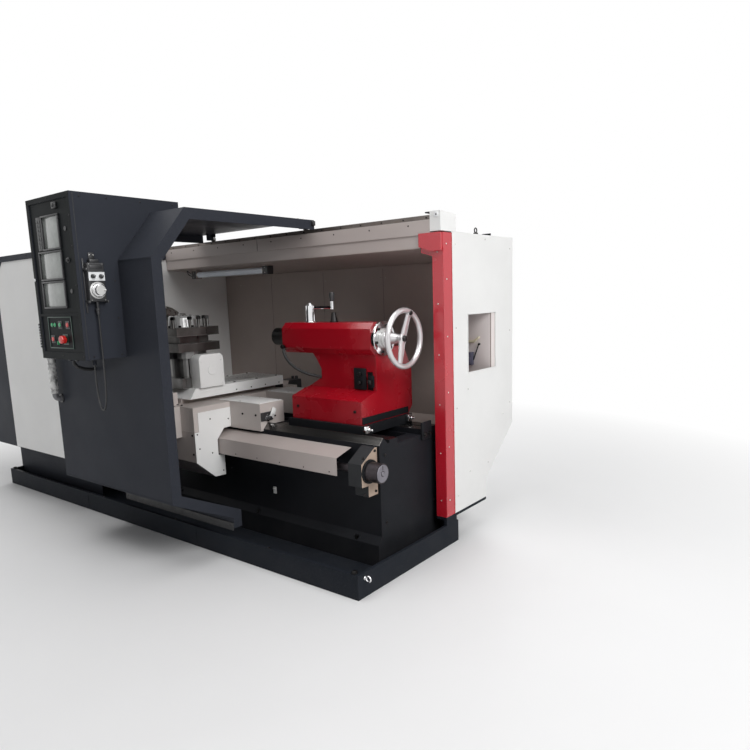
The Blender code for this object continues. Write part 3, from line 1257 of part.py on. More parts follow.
def build_saddle():
    low = SADDLE_SKIRT_LOW
    front = BED_FRONT - SADDLE_SKIRT
    lip = BED_REAR + GAP
    v_lift = GAP * math.sqrt(2)
    clear_y = BED_FRONT + 2 * V_HALF + WAY_GROOVE / 2
    flat_clear = WAY_Z + WAY_STEP / 3
    rear_clear = BED_REAR - FLAT_WIDTH - WAY_GROOVE / 2
    profile = [
        (front, low), (BED_FRONT - GAP, low), (BED_FRONT - GAP, V_FOOT_Z + v_lift),
        (BED_FRONT + V_HALF, V_APEX + v_lift + GAP), (BED_FRONT + 2 * V_HALF, V_FOOT_Z + v_lift),
        (clear_y, V_FOOT_Z + v_lift), (clear_y, flat_clear), (rear_clear, flat_clear),
        (rear_clear, WAY_Z + GAP), (lip, WAY_Z + GAP), (lip, low),
        (BED_REAR + SADDLE_REAR_LIP, low), (BED_REAR + SADDLE_REAR_LIP, SADDLE_TOP),
        (front, SADDLE_TOP),
    ]
    saddle = outline("saddle", [profile], "X", SADDLE_LEFT, SADDLE_RIGHT, "white_paint")
    top = SADDLE_TOP + OVERRUN
    cut(saddle,
        box("saddle_bay_left", (SADDLE_LEFT - OVERRUN, WING_FRONT_EDGE, low - OVERRUN),
            (BRIDGE_LEFT, WING_REAR_EDGE, top)),
        box("saddle_bay_right", (BRIDGE_RIGHT, WING_FRONT_EDGE, low - OVERRUN),
            (SADDLE_RIGHT + OVERRUN, WING_REAR_EDGE, top)))
    join(saddle,
         box("saddle_front_block", (BRIDGE_LEFT, BLOCK_FRONT, BLOCK_LOW),
             (BLOCK_RIGHT, front + BITE, SADDLE_TOP - BITE)),
         box("saddle_nose", (BRIDGE_LEFT + BITE, NOSE_FRONT, NOSE_LOW),
             (NOSE_RIGHT, BLOCK_FRONT + BITE, SADDLE_TOP)),
         box("saddle_tail", (BRIDGE_LEFT + TAIL_MARGIN, BED_REAR + SADDLE_REAR_LIP - BITE,
                             WAY_Z + TAIL_MARGIN), (BRIDGE_RIGHT - TAIL_MARGIN, TAIL_END,
                                                    SADDLE_TOP - BITE)),
         box("screw_nose_cover", (CREAM_LEFT, NOSE_FRONT + BITE, SADDLE_TOP - BITE),
             (CREAM_RIGHT, CREAM_REAR, CREAM_TOP)))
    rail = [
        (SLIDE_X - RAIL_HALF, SADDLE_TOP - BITE), (SLIDE_X + RAIL_HALF, SADDLE_TOP - BITE),
        (SLIDE_X + RAIL_HALF + RAIL_FLARE, SADDLE_TOP + RAIL_RISE),
        (SLIDE_X - RAIL_HALF - RAIL_FLARE, SADDLE_TOP + RAIL_RISE),
    ]
    join(saddle, outline("slide_rail", [rail], "Y", SLIDE_RAIL_FRONT, SLIDE_RAIL_REAR))
    cut(saddle, box("screw_channel", (SLIDE_X - CHANNEL_HALF, X_SCREW_FRONT - GAP, CHANNEL_LOW),
                    (SLIDE_X + CHANNEL_HALF, SLIDE_RAIL_REAR - OVERRUN, CREAM_TOP)))
    chin = [
        (BLOCK_FRONT, BLOCK_LOW - GAP), (APRON_REAR, BLOCK_LOW - GAP), (APRON_REAR, APRON_LOW),
        (APRON_CHIN_Y, APRON_LOW), (BLOCK_FRONT, APRON_CHIN_Z),
    ]
    apron = outline("apron", [chin], "X", BRIDGE_LEFT, BLOCK_RIGHT, "white_paint")
    cut(apron, box("nose_clearance", (BRIDGE_LEFT - OVERRUN, NOSE_FRONT, NOSE_LOW - GAP),
                   (NOSE_RIGHT + GAP, BLOCK_FRONT + BITE + GAP, BLOCK_LOW)))


def build_nut():
    left = SLIDE_X - NUT_LENGTH / 2
    right = left + NUT_LENGTH
    nut = rod("ball_nut", (left, SCREW_Y, SCREW_Z), NUT_RADIUS, NUT_LENGTH, "X", "steel",
              sides=MEDIUM_SIDES)
    join(nut,
         box("nut_saddle", (left + BITE, NUT_ARM_FRONT, NUT_ARM_TOP - BITE),
             (right - BITE, NUT_ARM_REAR, SCREW_Z)),
         box("nut_arm", (left + 2 * BITE, APRON_REAR + GAP, NUT_ARM_LOW),
             (right - 2 * BITE, NUT_ARM_REAR - BITE, NUT_ARM_TOP)))
    cut(nut, rod("nut_bore", (left - OVERRUN, SCREW_Y, SCREW_Z), SCREW_RADIUS + RUN_GAP,
                 NUT_LENGTH + 2 * OVERRUN, "X", sides=MEDIUM_SIDES))


def build_end_guard():
    shape = [
        (END_GUARD_UPPER_FRONT, END_GUARD_TOP), (END_GUARD_REAR, END_GUARD_TOP),
        (END_GUARD_REAR, END_GUARD_STEP_Z), (END_GUARD_NOTCH_TOP_Y, END_GUARD_STEP_Z - BITE),
        (END_GUARD_NOTCH_Y, END_GUARD_NOTCH_Z), (END_GUARD_NOTCH_Y, END_GUARD_NOTCH_LOW + BITE),
        (END_GUARD_TAIL_Y, END_GUARD_NOTCH_LOW), (END_GUARD_TAIL_Y, END_GUARD_LOW),
        (APRON_CHIN_Y, APRON_LOW), (END_GUARD_FRONT, APRON_CHIN_Z),
        (END_GUARD_FRONT, END_GUARD_LEDGE_Z), (END_GUARD_UPPER_FRONT, END_GUARD_LEDGE_Z),
    ]
    start = BLOCK_RIGHT + GAP
    outline("carriage_end_guard", [shape], "X", start, start + GUARD_PLATE, "white_paint")


def build_cross_slide():
    low = SADDLE_TOP + RAIL_RISE + GAP
    side = [
        (SLIDE_FRONT, low), (SLIDE_REAR, low), (SLIDE_REAR, SLIDE_TOP),
        (SLIDE_FRONT + SLIDE_NOSE, SLIDE_TOP),
    ]
    slide = outline("cross_slide", [side], "X", SLIDE_X - SLIDE_HALF, SLIDE_X + SLIDE_HALF,
                    "white_paint")
    lug_low = X_SCREW_Z - X_NUT_HALF
    join(slide, box("x_nut", (SLIDE_X - X_NUT_HALF, 0, lug_low),
                    (SLIDE_X + X_NUT_HALF, X_NUT_LENGTH, low + BITE)))
    cut(slide, rod("x_nut_bore", (SLIDE_X, -OVERRUN, X_SCREW_Z), X_SCREW_RADIUS + RUN_GAP,
                   X_NUT_LENGTH + 2 * OVERRUN, "Y", sides=MEDIUM_SIDES))
    servo_front = TAIL_END + GAP
    servo = box("x_servo_motor",
                (SLIDE_X - X_SERVO_SIZE / 2, servo_front, X_SCREW_Z - X_SERVO_SIZE / 2),
                (SLIDE_X + X_SERVO_SIZE / 2, servo_front + X_SERVO_LENGTH,
                 X_SCREW_Z + X_SERVO_SIZE / 2), "black_plastic")
    bore = (SLIDE_X, TAIL_END - OVERRUN, X_SCREW_Z)
    depth = 2 * OVERRUN + SERVO_BORE_DEPTH / 2
    cut(servo, rod("x_servo_bore", bore, X_SCREW_RADIUS + RUN_GAP, depth, "Y",
                   sides=MEDIUM_SIDES))
    screw_end = servo_front + SERVO_BORE_DEPTH / 2
    screw_start = X_SCREW_FRONT - X_BEARING
    screw = rod("x_screw", (SLIDE_X, screw_start, X_SCREW_Z), X_SCREW_RADIUS,
                screw_end - screw_start, "Y", "steel", sides=MEDIUM_SIDES // 2)
    set_origin(screw, (SLIDE_X, screw_start, X_SCREW_Z))
    saddle = bpy.data.objects["saddle"]
    cut(saddle,
        rod("nose_bore", (SLIDE_X, screw_start - GAP, X_SCREW_Z), X_SCREW_RADIUS + RUN_GAP,
            X_BEARING + OVERRUN, "Y", sides=MEDIUM_SIDES),
        rod("tail_bore", (SLIDE_X, SLIDE_RAIL_REAR - 2 * OVERRUN, X_SCREW_Z),
            X_SCREW_RADIUS + RUN_GAP, TAIL_END - SLIDE_RAIL_REAR + 3 * OVERRUN, "Y",
            sides=MEDIUM_SIDES))


def build_turret():
    seat = SLIDE_TOP + GAP
    base = box("turret_base", (POST_X - BASE_PLATE_HALF, POST_Y - BASE_PLATE_HALF, seat),
               (POST_X + BASE_PLATE_HALF, POST_Y + BASE_PLATE_HALF, BASE_PLATE_TOP), "steel")
    drum = turned("base_drum", [
        (0, POST_BASE_Z - BASE_PLATE_TOP + BITE), (BASE_DRUM, POST_BASE_Z - BASE_PLATE_TOP + BITE),
        (BASE_DRUM, BASE_NECK_Z - BASE_PLATE_TOP), (BASE_NECK, BASE_NECK_Z - BASE_PLATE_TOP - BITE),
        (BASE_NECK, 0), (0, 0),
    ], (POST_X, POST_Y, BASE_PLATE_TOP - BITE), "Z", steps=MEDIUM_SIDES)
    low_corner = GEARBOX_FRONT + GEARBOX_ROUND
    high_corner = GEARBOX_REAR - GEARBOX_ROUND
    crown = GEARBOX_TOP - GEARBOX_ROUND
    end_view = [(GEARBOX_FRONT, seat), (GEARBOX_REAR, seat)]
    end_view += arc((high_corner, crown), GEARBOX_ROUND, 0, 90, 5)
    end_view += arc((low_corner, crown), GEARBOX_ROUND, 90, 180, 5)
    join(base, drum, outline("gearbox", [end_view], "X", POST_X + BASE_NECK - OVERRUN,
                             GEARBOX_RIGHT))
    floor = POST_BASE_Z + GAP
    post = box("tool_post", (POST_X - POST_HALF, POST_Y - POST_HALF, floor),
               (POST_X + POST_HALF, POST_Y + POST_HALF, POST_BLOCK_TOP), "dark_steel")
    set_origin(post, (POST_X, POST_Y, floor))
    core = POST_HALF - POST_SLOT_DEPTH
    wide = POST_HALF + OVERRUN
    ring = [square(POST_X, POST_Y, wide), square(POST_X, POST_Y, core)]
    cut(post, outline("tool_slots", ring, "Z", POST_SLOT_LOW, POST_SLOT_HIGH))
    for number, (x, y) in enumerate(bolt_places()):
        join(post, rod("clamp_bolt_%d" % number, (x, y, POST_SLOT_HIGH - BITE), BOLT_RADIUS,
                       POST_BLOCK_TOP + BOLT_HEAD - POST_SLOT_HIGH + BITE, "Z", sides=8))
    turned("turret_cap", [
        (0, CAP_HEIGHT), (CAP_RADIUS - CAP_TAPER - CAP_EDGE, CAP_HEIGHT),
        (CAP_RADIUS - CAP_TAPER, CAP_HEIGHT - CAP_EDGE), (CAP_RADIUS, 0), (0, 0),
    ], (POST_X, POST_Y, POST_BLOCK_TOP + GAP), "Z", "chrome", MEDIUM_SIDES)


def square(x, y, half):
    return [(x - half, y - half), (x + half, y - half), (x + half, y + half), (x - half, y + half)]


def bolt_places():
    """Three clamping bolts over each of the four tool slots."""
    places = []
    for side in range(4):
        turn = Matrix.Rotation(side * math.pi / 2, 2)
        for number in range(BOLT_COUNT):
            along = (number - (BOLT_COUNT - 1) / 2) * BOLT_SPREAD + BOLT_EDGE
            local = turn @ Vector((POST_HALF - BOLT_EDGE, along))
            places.append((POST_X + local.x, POST_Y + local.y))
    return places


def build_tailstock():
    plate_low = WAY_Z + GAP
    outline("tailstock_base", [[
        (TAIL_PLATE_FRONT, plate_low), (TAIL_BASE_REAR, plate_low),
        (TAIL_BASE_REAR, TAIL_PLATE_TOP), (TAIL_PLATE_FRONT, TAIL_PLATE_TOP),
    ]], "X", TAIL_LEFT - TAIL_PLATE_OVER, TAIL_RIGHT + TAIL_PLATE_OVER, "black_casting")
    seat = TAIL_PLATE_TOP + GAP
    section = [
        (TAIL_FRONT, seat), (FLARE_HEEL_Y, seat), (FLARE_REAR_Y, FLARE_HEEL_Z),
        (FLARE_REAR_Y, FLARE_REAR_Z), (NECK_REAR, AXIS_Z - BARREL_HALF_HEIGHT + BARREL_BEVEL),
        (NECK_FRONT, AXIS_Z - BARREL_HALF_HEIGHT + BARREL_BEVEL),
        (NECK_FRONT, FLARE_NECK_Z), (TAIL_FRONT, FLARE_FRONT_Z),
    ]
    casting = outline("tailstock_casting", [section], "X", TAIL_LEFT, TAIL_RIGHT, "red_paint")
    far_left = BARREL_UNDER_X - OVERRUN
    bow = [
        (far_left, FLARE_FRONT_Z + BARREL_BEVEL), (TAIL_LEFT, FLARE_FRONT_Z + BARREL_BEVEL),
        (NECK_LEFT, NECK_LOW_Z), (NECK_LEFT, NECK_MID_Z), (NECK_HIGH_X, NECK_HIGH_Z),
        (BARREL_UNDER_X, AXIS_Z), (far_left, AXIS_Z),
    ]
    cut(casting, outline("neck_bow", [bow], "Y", TAIL_FRONT - OVERRUN, TAIL_REAR + OVERRUN))
    low = AXIS_Z - BARREL_HALF_HEIGHT
    high = AXIS_Z + BARREL_HALF_HEIGHT
    near = AXIS_Y - BARREL_HALF_WIDTH
    far = AXIS_Y + BARREL_HALF_WIDTH
    barrel_profile = [
        (near + BARREL_BEVEL, low), (far - BARREL_BEVEL, low), (far, low + BARREL_BEVEL),
        (far, high - BARREL_BEVEL), (far - BARREL_BEVEL, high), (near + BARREL_BEVEL, high),
        (near, high - BARREL_BEVEL), (near, low + BARREL_BEVEL),
    ]
    join(casting, outline("barrel", [barrel_profile], "X", BARREL_LEFT, TAIL_RIGHT - BITE),
         rod("oil_cup", (OIL_CUP_X, AXIS_Y, high - BITE), OIL_CUP_RADIUS, OIL_CUP_HEIGHT, "Z",
             sides=12, end_radius=OIL_CUP_RADIUS / 2))
    cut(casting,
        rod("quill_bore", (BARREL_LEFT - OVERRUN, AXIS_Y, AXIS_Z), QUILL_RADIUS + RUN_GAP,
            QUILL_BORE_END - BARREL_LEFT + OVERRUN, "X", sides=SIDES),
        rod("screw_bore", (QUILL_BORE_END - OVERRUN, AXIS_Y, AXIS_Z), HANDWHEEL_SHAFT + RUN_GAP,
            2 * OVERRUN + TAIL_RIGHT - QUILL_BORE_END, "X", sides=MEDIUM_SIDES),
        box("clamp_recess", (RECESS_LEFT, TAIL_FRONT, RECESS_LOW),
            (RECESS_RIGHT - 2 * OVERRUN, NECK_FRONT + RECESS_DEPTH, RECESS_TOP)))
    turned("quill", [
        (0, QUILL_END - QUILL_TIP), (QUILL_RADIUS, QUILL_END - QUILL_TIP),
        (QUILL_RADIUS, BITE), (QUILL_RADIUS - BITE, 0), (TAPER_MOUTH, 0), (TAPER_END, TAPER_DEPTH),
        (0, TAPER_DEPTH),
    ], (QUILL_TIP, AXIS_Y, AXIS_Z), "X", "dark_steel", MEDIUM_SIDES)


def build_handwheel():
    flange_x = TAIL_RIGHT + GAP
    hub_end = FLANGE_THICK + FLANGE_HUB_LENGTH
    turned("screw_flange", [
        (HANDWHEEL_SHAFT + RUN_GAP, hub_end), (FLANGE_HUB, hub_end), (FLANGE_HUB, FLANGE_THICK),
        (FLANGE_RADIUS - BITE, FLANGE_THICK), (FLANGE_RADIUS, FLANGE_THICK - BITE),
        (FLANGE_RADIUS, 0), (HANDWHEEL_SHAFT + RUN_GAP, 0),
    ], (flange_x, AXIS_Y, AXIS_Z), "X", "chrome", MEDIUM_SIDES)
    hub_start = flange_x + hub_end + GAP
    shaft_start = QUILL_BORE_END + GAP
    hub_low = hub_start - shaft_start
    hub_top = HANDWHEEL_X + HANDWHEEL_RIM - shaft_start
    wheel = turned("handwheel", [
        (0, hub_top), (HANDWHEEL_HUB - BITE, hub_top), (HANDWHEEL_HUB, hub_top - BITE),
        (HANDWHEEL_HUB, hub_low), (HANDWHEEL_SHAFT, hub_low), (HANDWHEEL_SHAFT, 0), (0, 0),
    ], (shaft_start, AXIS_Y, AXIS_Z), "X", "chrome", MEDIUM_SIDES)
    middle = HANDWHEEL_RADIUS - HANDWHEEL_RIM
    section = arc((middle, 0), HANDWHEEL_RIM, 90, -270, 8)[:-1]
    rim = turned("wheel_rim", section, (HANDWHEEL_X, AXIS_Y, AXIS_Z), "X", steps=40)
    half = SPOKE_THICK / 2
    spoke = box("wheel_spoke",
                (HANDWHEEL_X - half, AXIS_Y - SPOKE_WIDTH / 2, AXIS_Z - middle),
                (HANDWHEEL_X + half, AXIS_Y + SPOKE_WIDTH / 2, AXIS_Z + middle))
    join(wheel, rim, spoke)


def build_lever():
    top = AXIS_Z + BARREL_HALF_HEIGHT + GAP
    lever = rod("clamp_lever", (LEVER_X, AXIS_Y, top), LEVER_HUB, LEVER_HUB_TOP - top, "Z",
                "chrome", sides=24)
    set_origin(lever, (LEVER_X, AXIS_Y, top))
    end_x = LEVER_X + LEVER_REACH
    join(lever,
         rod("lever_arm", (LEVER_X, AXIS_Y, LEVER_ARM_Z), LEVER_ARM_RADIUS, LEVER_REACH, "X",
             sides=12),
         rod("lever_stem", (end_x, AXIS_Y, LEVER_ARM_Z - LEVER_ARM_RADIUS - BITE),
             LEVER_ARM_RADIUS + BITE, LEVER_STEM_TOP - LEVER_ARM_Z + LEVER_ARM_RADIUS + BITE, "Z",
             sides=14),
         rod("lever_grip", (end_x, AXIS_Y, LEVER_STEM_TOP - BITE), LEVER_GRIP_RADIUS,
             LEVER_GRIP_TOP - LEVER_STEM_TOP + BITE, "Z", sides=14))


def main():
    global MODEL, CUTTERS
    clear_scene()
    MODEL = make_collection("cnc_turning_lathe")
    CUTTERS = make_collection("cutters")
    build_tray()
    build_bed()
    build_headstock()
    build_spindle()
    build_chuck()
    build_left_guard()
    build_headstock_cover()
    build_sill()
    build_drive()
    build_long_screw()
    build_header()
    build_post()
    build_enclosure()
    build_soffit_and_lamp()
    build_cabinet()
    build_hood()
    build_console()
    build_handle()
    build_pendant()
    build_saddle()
    build_nut()
    build_end_guard()
    build_cross_slide()
    build_turret()
    build_tailstock()
    build_handwheel()
    build_lever()
    bpy.context.view_layer.update()


main()
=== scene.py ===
"""Looks of the flat-bed CNC turning lathe: finishes, fittings, screws, panes, cable and studio."""
import itertools
import math
import random

import bmesh
import bpy
from mathutils import Matrix, Vector


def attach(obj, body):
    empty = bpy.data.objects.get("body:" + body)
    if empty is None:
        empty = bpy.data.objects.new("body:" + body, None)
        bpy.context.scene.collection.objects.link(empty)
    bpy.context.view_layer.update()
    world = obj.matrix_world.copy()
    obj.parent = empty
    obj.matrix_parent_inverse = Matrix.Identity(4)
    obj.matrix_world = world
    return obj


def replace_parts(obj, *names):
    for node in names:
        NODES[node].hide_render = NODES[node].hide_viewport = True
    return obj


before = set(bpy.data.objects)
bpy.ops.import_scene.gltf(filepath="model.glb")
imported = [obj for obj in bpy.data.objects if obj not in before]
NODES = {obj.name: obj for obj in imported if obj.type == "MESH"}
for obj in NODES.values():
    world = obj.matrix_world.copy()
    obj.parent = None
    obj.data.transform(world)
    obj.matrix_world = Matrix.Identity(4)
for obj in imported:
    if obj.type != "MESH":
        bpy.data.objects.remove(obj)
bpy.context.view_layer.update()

RANDOM = random.Random(7)

# Camera, from the vanishing points of the photograph's 750 by 750 frame
CAMERA_PLACE = (3.591, -2.553, 1.386)
CAMERA_RIGHT = (0.789, 0.614, -0.033)
CAMERA_UP = (-0.074, 0.148, 0.986)
CAMERA_BACK = (0.610, -0.775, 0.162)
FOCAL_PIXELS = 640.0
IMAGE_SIZE = 750.0
PRINCIPAL_ROW = 401.0
SENSOR = 36.0

# Sockets of the colour mix node, which has several by each name
MIX_COLOURS = (6, 7)
MIX_RESULT = 2
COAT_ROUGHNESS = 0.12

# The studio
WORLD_LIGHT = 0.18
FLOOR_FADE = 2.4
LIGHTS = (
    ("key_from_right", (6.5, -1.2, 4.2), (0.6, 0, 0.8), (4.0, 3.0), 270),
    ("top_soft", (0.5, -1.0, 5.5), (0.3, 0.2, 0.8), (6.0, 4.0), 165),
    ("front_fill", (-1.5, -6.5, 2.2), (0.3, 0, 0.9), (5.0, 3.0), 24),
    ("rear_soft", (-3.0, 6.0, 4.0), (0, 0.5, 0.9), (5.0, 3.0), 160),
)

# Places and sizes that several pieces share, in metres; a face is GAP outside its solid
GAP = 0.0003
LEFT_FACE = -1.8003
RIGHT_FACE = 1.8003
REAR_FACE = 1.1283
SPINDLE_Y = 0.160
SPINDLE = (SPINDLE_Y, 1.162)
POST = (0.313, -0.223)
CHUCK_FACE = -0.4319
LATCH = (-0.062, 0.742)
HANDWHEEL_PLANE = 1.663
HANDWHEEL_LEAN = 19.0
WAY_PAINT_LINE = 0.652
CABLE_RADIUS = 0.004
CABLE_STEPS = 6

AXES = {
    "X": Matrix(((0, 0, 1, 0), (1, 0, 0, 0), (0, 1, 0, 0), (0, 0, 0, 1))),
    "-X": Matrix(((0, 0, -1, 0), (-1, 0, 0, 0), (0, 1, 0, 0), (0, 0, 0, 1))),
    "Y": Matrix(((-1, 0, 0, 0), (0, 0, 1, 0), (0, 1, 0, 0), (0, 0, 0, 1))),
    "-Y": Matrix(((1, 0, 0, 0), (0, 0, -1, 0), (0, 1, 0, 0), (0, 0, 0, 1))),
    "Z": Matrix.Identity(4),
    "-Z": Matrix(((1, 0, 0, 0), (0, -1, 0, 0), (0, 0, -1, 0), (0, 0, 0, 1))),
}


# Materials

class Look:
    """A node material that starts from a Principled shader."""

    def __init__(self, name, colour, roughness, metallic=0.0, coat=0.0, specular=0.5):
        self.material = bpy.data.materials.new(name)
        self.material.use_nodes = True
        self.tree = self.material.node_tree
        self.shader = self.tree.nodes["Principled BSDF"]
        self.colour = (*colour, 1.0)
        self.roughness = roughness
        self.shader.inputs["Base Color"].default_value = self.colour
        self.shader.inputs["Roughness"].default_value = roughness
        self.shader.inputs["Metallic"].default_value = metallic
        self.shader.inputs["Coat Weight"].default_value = coat
        self.shader.inputs["Specular IOR Level"].default_value = specular
        self.shader.inputs["Coat Roughness"].default_value = COAT_ROUGHNESS
        self.coordinates = self.node("ShaderNodeTexCoord").outputs["Object"]

    def node(self, kind, **values):
        new = self.tree.nodes.new(kind)
        for key, value in values.items():
            setattr(new, key, value)
        return new

    def link(self, source, target):
        self.tree.links.new(source, target)

    def scaled(self, scale):
        """Object coordinates stretched by a scale for each axis."""
        mapping = self.node("ShaderNodeMapping")
        mapping.inputs["Scale"].default_value = scale
        self.link(self.coordinates, mapping.inputs["Vector"])
        return mapping.outputs["Vector"]

    def component(self, vector, axis):
        split = self.node("ShaderNodeSeparateXYZ")
        self.link(vector, split.inputs["Vector"])
        return split.outputs[axis]

    def facing(self, axis):
        """How far a face looks along an axis, -1 to 1."""
        return self.component(self.node("ShaderNodeNewGeometry").outputs["True Normal"], axis)

    def noise(self, scale, detail=3.0, stretch=(1, 1, 1), roughness=0.55):
        new = self.node("ShaderNodeTexNoise")
        new.inputs["Scale"].default_value = scale
        new.inputs["Detail"].default_value = detail
        new.inputs["Roughness"].default_value = roughness
        self.link(self.scaled(stretch), new.inputs["Vector"])
        return new.outputs["Fac"]

    def ranged(self, source, low, high, from_low=0.3, from_high=0.7):
        new = self.node("ShaderNodeMapRange")
        new.inputs["From Min"].default_value = from_low
        new.inputs["From Max"].default_value = from_high
        new.inputs["To Min"].default_value = low
        new.inputs["To Max"].default_value = high
        self.link(source, new.inputs["Value"])
        return new.outputs["Result"]

    def mix(self, factor, first, second):
        """Mix two colours; each is a socket or a colour."""
        new = self.node("ShaderNodeMix", data_type='RGBA')
        self.link(factor, new.inputs["Factor"])
        for index, value in zip(MIX_COLOURS, (first, second)):
            if isinstance(value, bpy.types.NodeSocket):
                self.link(value, new.inputs[index])
            else:
                new.inputs[index].default_value = (*value, 1.0)
        return new.outputs[MIX_RESULT]

    def math(self, operation, first, second):
        new = self.node("ShaderNodeMath", operation=operation)
        for socket, value in zip(new.inputs, (first, second)):
            if isinstance(value, bpy.types.NodeSocket):
                self.link(value, socket)
            else:
                socket.default_value = value
        return new.outputs[0]

    def vary_colour(self, scale, amount, detail=4.0):
        """Broad, soft changes of shade."""
        dark = [channel * (1 - amount) for channel in self.colour[:3]]
        light = [min(channel * (1 + amount), 1.0) for channel in self.colour[:3]]
        result = self.mix(self.ranged(self.noise(scale, detail), 0.0, 1.0), dark, light)
        self.set_colour(result)
        return result

    def set_colour(self, socket):
        self.link(socket, self.shader.inputs["Base Color"])
        self.current = socket

    def vary_roughness(self, scale, amount, stretch=(1, 1, 1)):
        result = self.ranged(self.noise(scale, 4.0, stretch), self.roughness - amount,
                             self.roughness + amount)
        self.link(result, self.shader.inputs["Roughness"])

    def bumps(self, layers, round_edges=0.0):
        """Stack bump layers of (height socket, strength, distance) on softened edges."""
        normal = None
        if round_edges:
            bevel = self.node("ShaderNodeBevel", samples=4)
            bevel.inputs["Radius"].default_value = round_edges
            normal = bevel.outputs["Normal"]
        for height, strength, distance in layers:
            bump = self.node("ShaderNodeBump")
            bump.inputs["Strength"].default_value = strength
            bump.inputs["Distance"].default_value = distance
            self.link(height, bump.inputs["Height"])
            if normal is not None:
                self.link(normal, bump.inputs["Normal"])
            normal = bump.outputs["Normal"]
        self.link(normal, self.shader.inputs["Normal"])

    def dust_below(self, height, fade, colour, amount):
        """Lighter dust on the lowest stretch of the machine."""
        level = self.component(self.coordinates, "Z")
        low = self.ranged(level, amount, 0.0, height, height + fade)
        patchy = self.math('MULTIPLY', low, self.ranged(self.noise(9.0, 6.0), 0.2, 1.0))
        self.set_colour(self.mix(patchy, self.current, colour))


def orange_peel(look, peel, edges):
    look.bumps([(look.noise(180.0, 2.0), peel, 0.0004), (look.noise(2.2, 2.0), 0.12, 0.004)],
               edges)


def paint(name, colour, roughness, coat=0.25, peel=0.25, vary=0.07, edges=0.0015, dust=0.0,
          specular=0.5):
    """Sprayed machine paint: orange peel, faint clouding, softened sheet edges."""
    look = Look(name, colour, roughness, coat=coat, specular=specular)
    look.vary_colour(3.0, vary)
    specks = look.ranged(look.noise(420.0, 2.0), 0.0, 1.0, 0.62, 0.72)
    look.set_colour(look.mix(look.math('MULTIPLY', specks, 0.10), look.current, (0.5, 0.5, 0.5)))
    if dust:
        look.dust_below(0.02, 0.18, (0.16, 0.15, 0.14), dust)
    look.vary_roughness(5.0, 0.06)
    orange_peel(look, peel, edges)
    return look.material


def casting_paint(name, colour, roughness, grain=0.5, vary=0.12, coat=0.15, specular=0.5):
    """Filled and painted cast iron: coarser skin under the paint."""
    look = Look(name, colour, roughness, coat=coat, specular=specular)
    look.vary_colour(4.0, vary, 6.0)
    look.vary_roughness(7.0, 0.08)
    look.bumps([(look.noise(90.0, 4.0), grain, 0.0008), (look.noise(9.0, 3.0), 0.25, 0.003)],
               0.003)
    return look.material


def metal(name, colour, roughness, grain=(1, 1, 1), grain_scale=60.0, strength=0.12, vary=0.15,
          stain=0.0, edges=0.001, shine=1.0):
    """Machined or polished metal with its tool marks along one direction."""
    look = Look(name, colour, roughness, metallic=shine)
    look.vary_colour(8.0, vary, 5.0)
    if stain:
        spots = look.ranged(look.noise(14.0, 8.0), 0.0, stain, 0.52, 0.72)
        look.set_colour(look.mix(spots, look.current, (0.10, 0.06, 0.035)))
    look.vary_roughness(grain_scale * 0.5, roughness * 0.35, grain)
    look.bumps([(look.noise(grain_scale, 3.0, grain), strength, 0.0005)], edges)
    return look.material


def rubber(name, colour=(0.016, 0.016, 0.017), roughness=0.6):
    look = Look(name, colour, roughness)
    look.vary_colour(30.0, 0.25)
    look.vary_roughness(20.0, 0.08)
    look.bumps([(look.noise(300.0, 2.0), 0.2, 0.0003)], 0.0008)
    return look.material


def plastic(name, colour, roughness, grain=0.15, coat=0.1, edges=0.0006):
    look = Look(name, colour, roughness, coat=coat)
    look.vary_colour(12.0, 0.06)
    look.vary_roughness(25.0, 0.05)
    look.bumps([(look.noise(700.0, 2.0), grain, 0.0002)], edges)
    return look.material


def window_pane(name, colour, roughness):
    """A display pane: pale film behind a glossy sheet with soft cloudy reflections."""
    look = Look(name, colour, roughness, coat=0.8)
    look.vary_colour(14.0, 0.22, 5.0)
    streak = look.ranged(look.noise(9.0, 4.0, (1, 1, 0.35)), 0.0, 0.75)
    look.set_colour(look.mix(streak, look.current, (0.17, 0.19, 0.175)))
    look.vary_roughness(9.0, 0.04)
    look.bumps([(look.noise(40.0, 2.0), 0.05, 0.0005)])
    return look.material


def wrapping_film(name):
    """Clear film wound over a handle: pale, with painted shade as grey along its folds."""
    look = Look(name, (0.66, 0.66, 0.65), 0.18, coat=0.6)
    look.vary_colour(30.0, 0.15)
    # painted shade: grey along the film's folds
    fold_painted_shade = look.ranged(look.noise(55.0, 5.0, (1, 1, 0.5)), 0.0, 1.0, 0.45, 0.62)
    look.set_colour(look.mix(fold_painted_shade, look.current, (0.22, 0.22, 0.22)))
    look.vary_roughness(20.0, 0.06)
    look.bumps([(look.noise(70.0, 4.0), 0.8, 0.002)])
    return look.material


def glow_tube(name):
    """An unlit fluorescent tube: white powder inside glossy glass."""
    look = Look(name, (0.72, 0.78, 0.86), 0.16, coat=0.9)
    look.vary_colour(10.0, 0.05)
    look.vary_roughness(12.0, 0.03)
    look.bumps([(look.noise(50.0, 2.0), 0.04, 0.0005)])
    return look.material


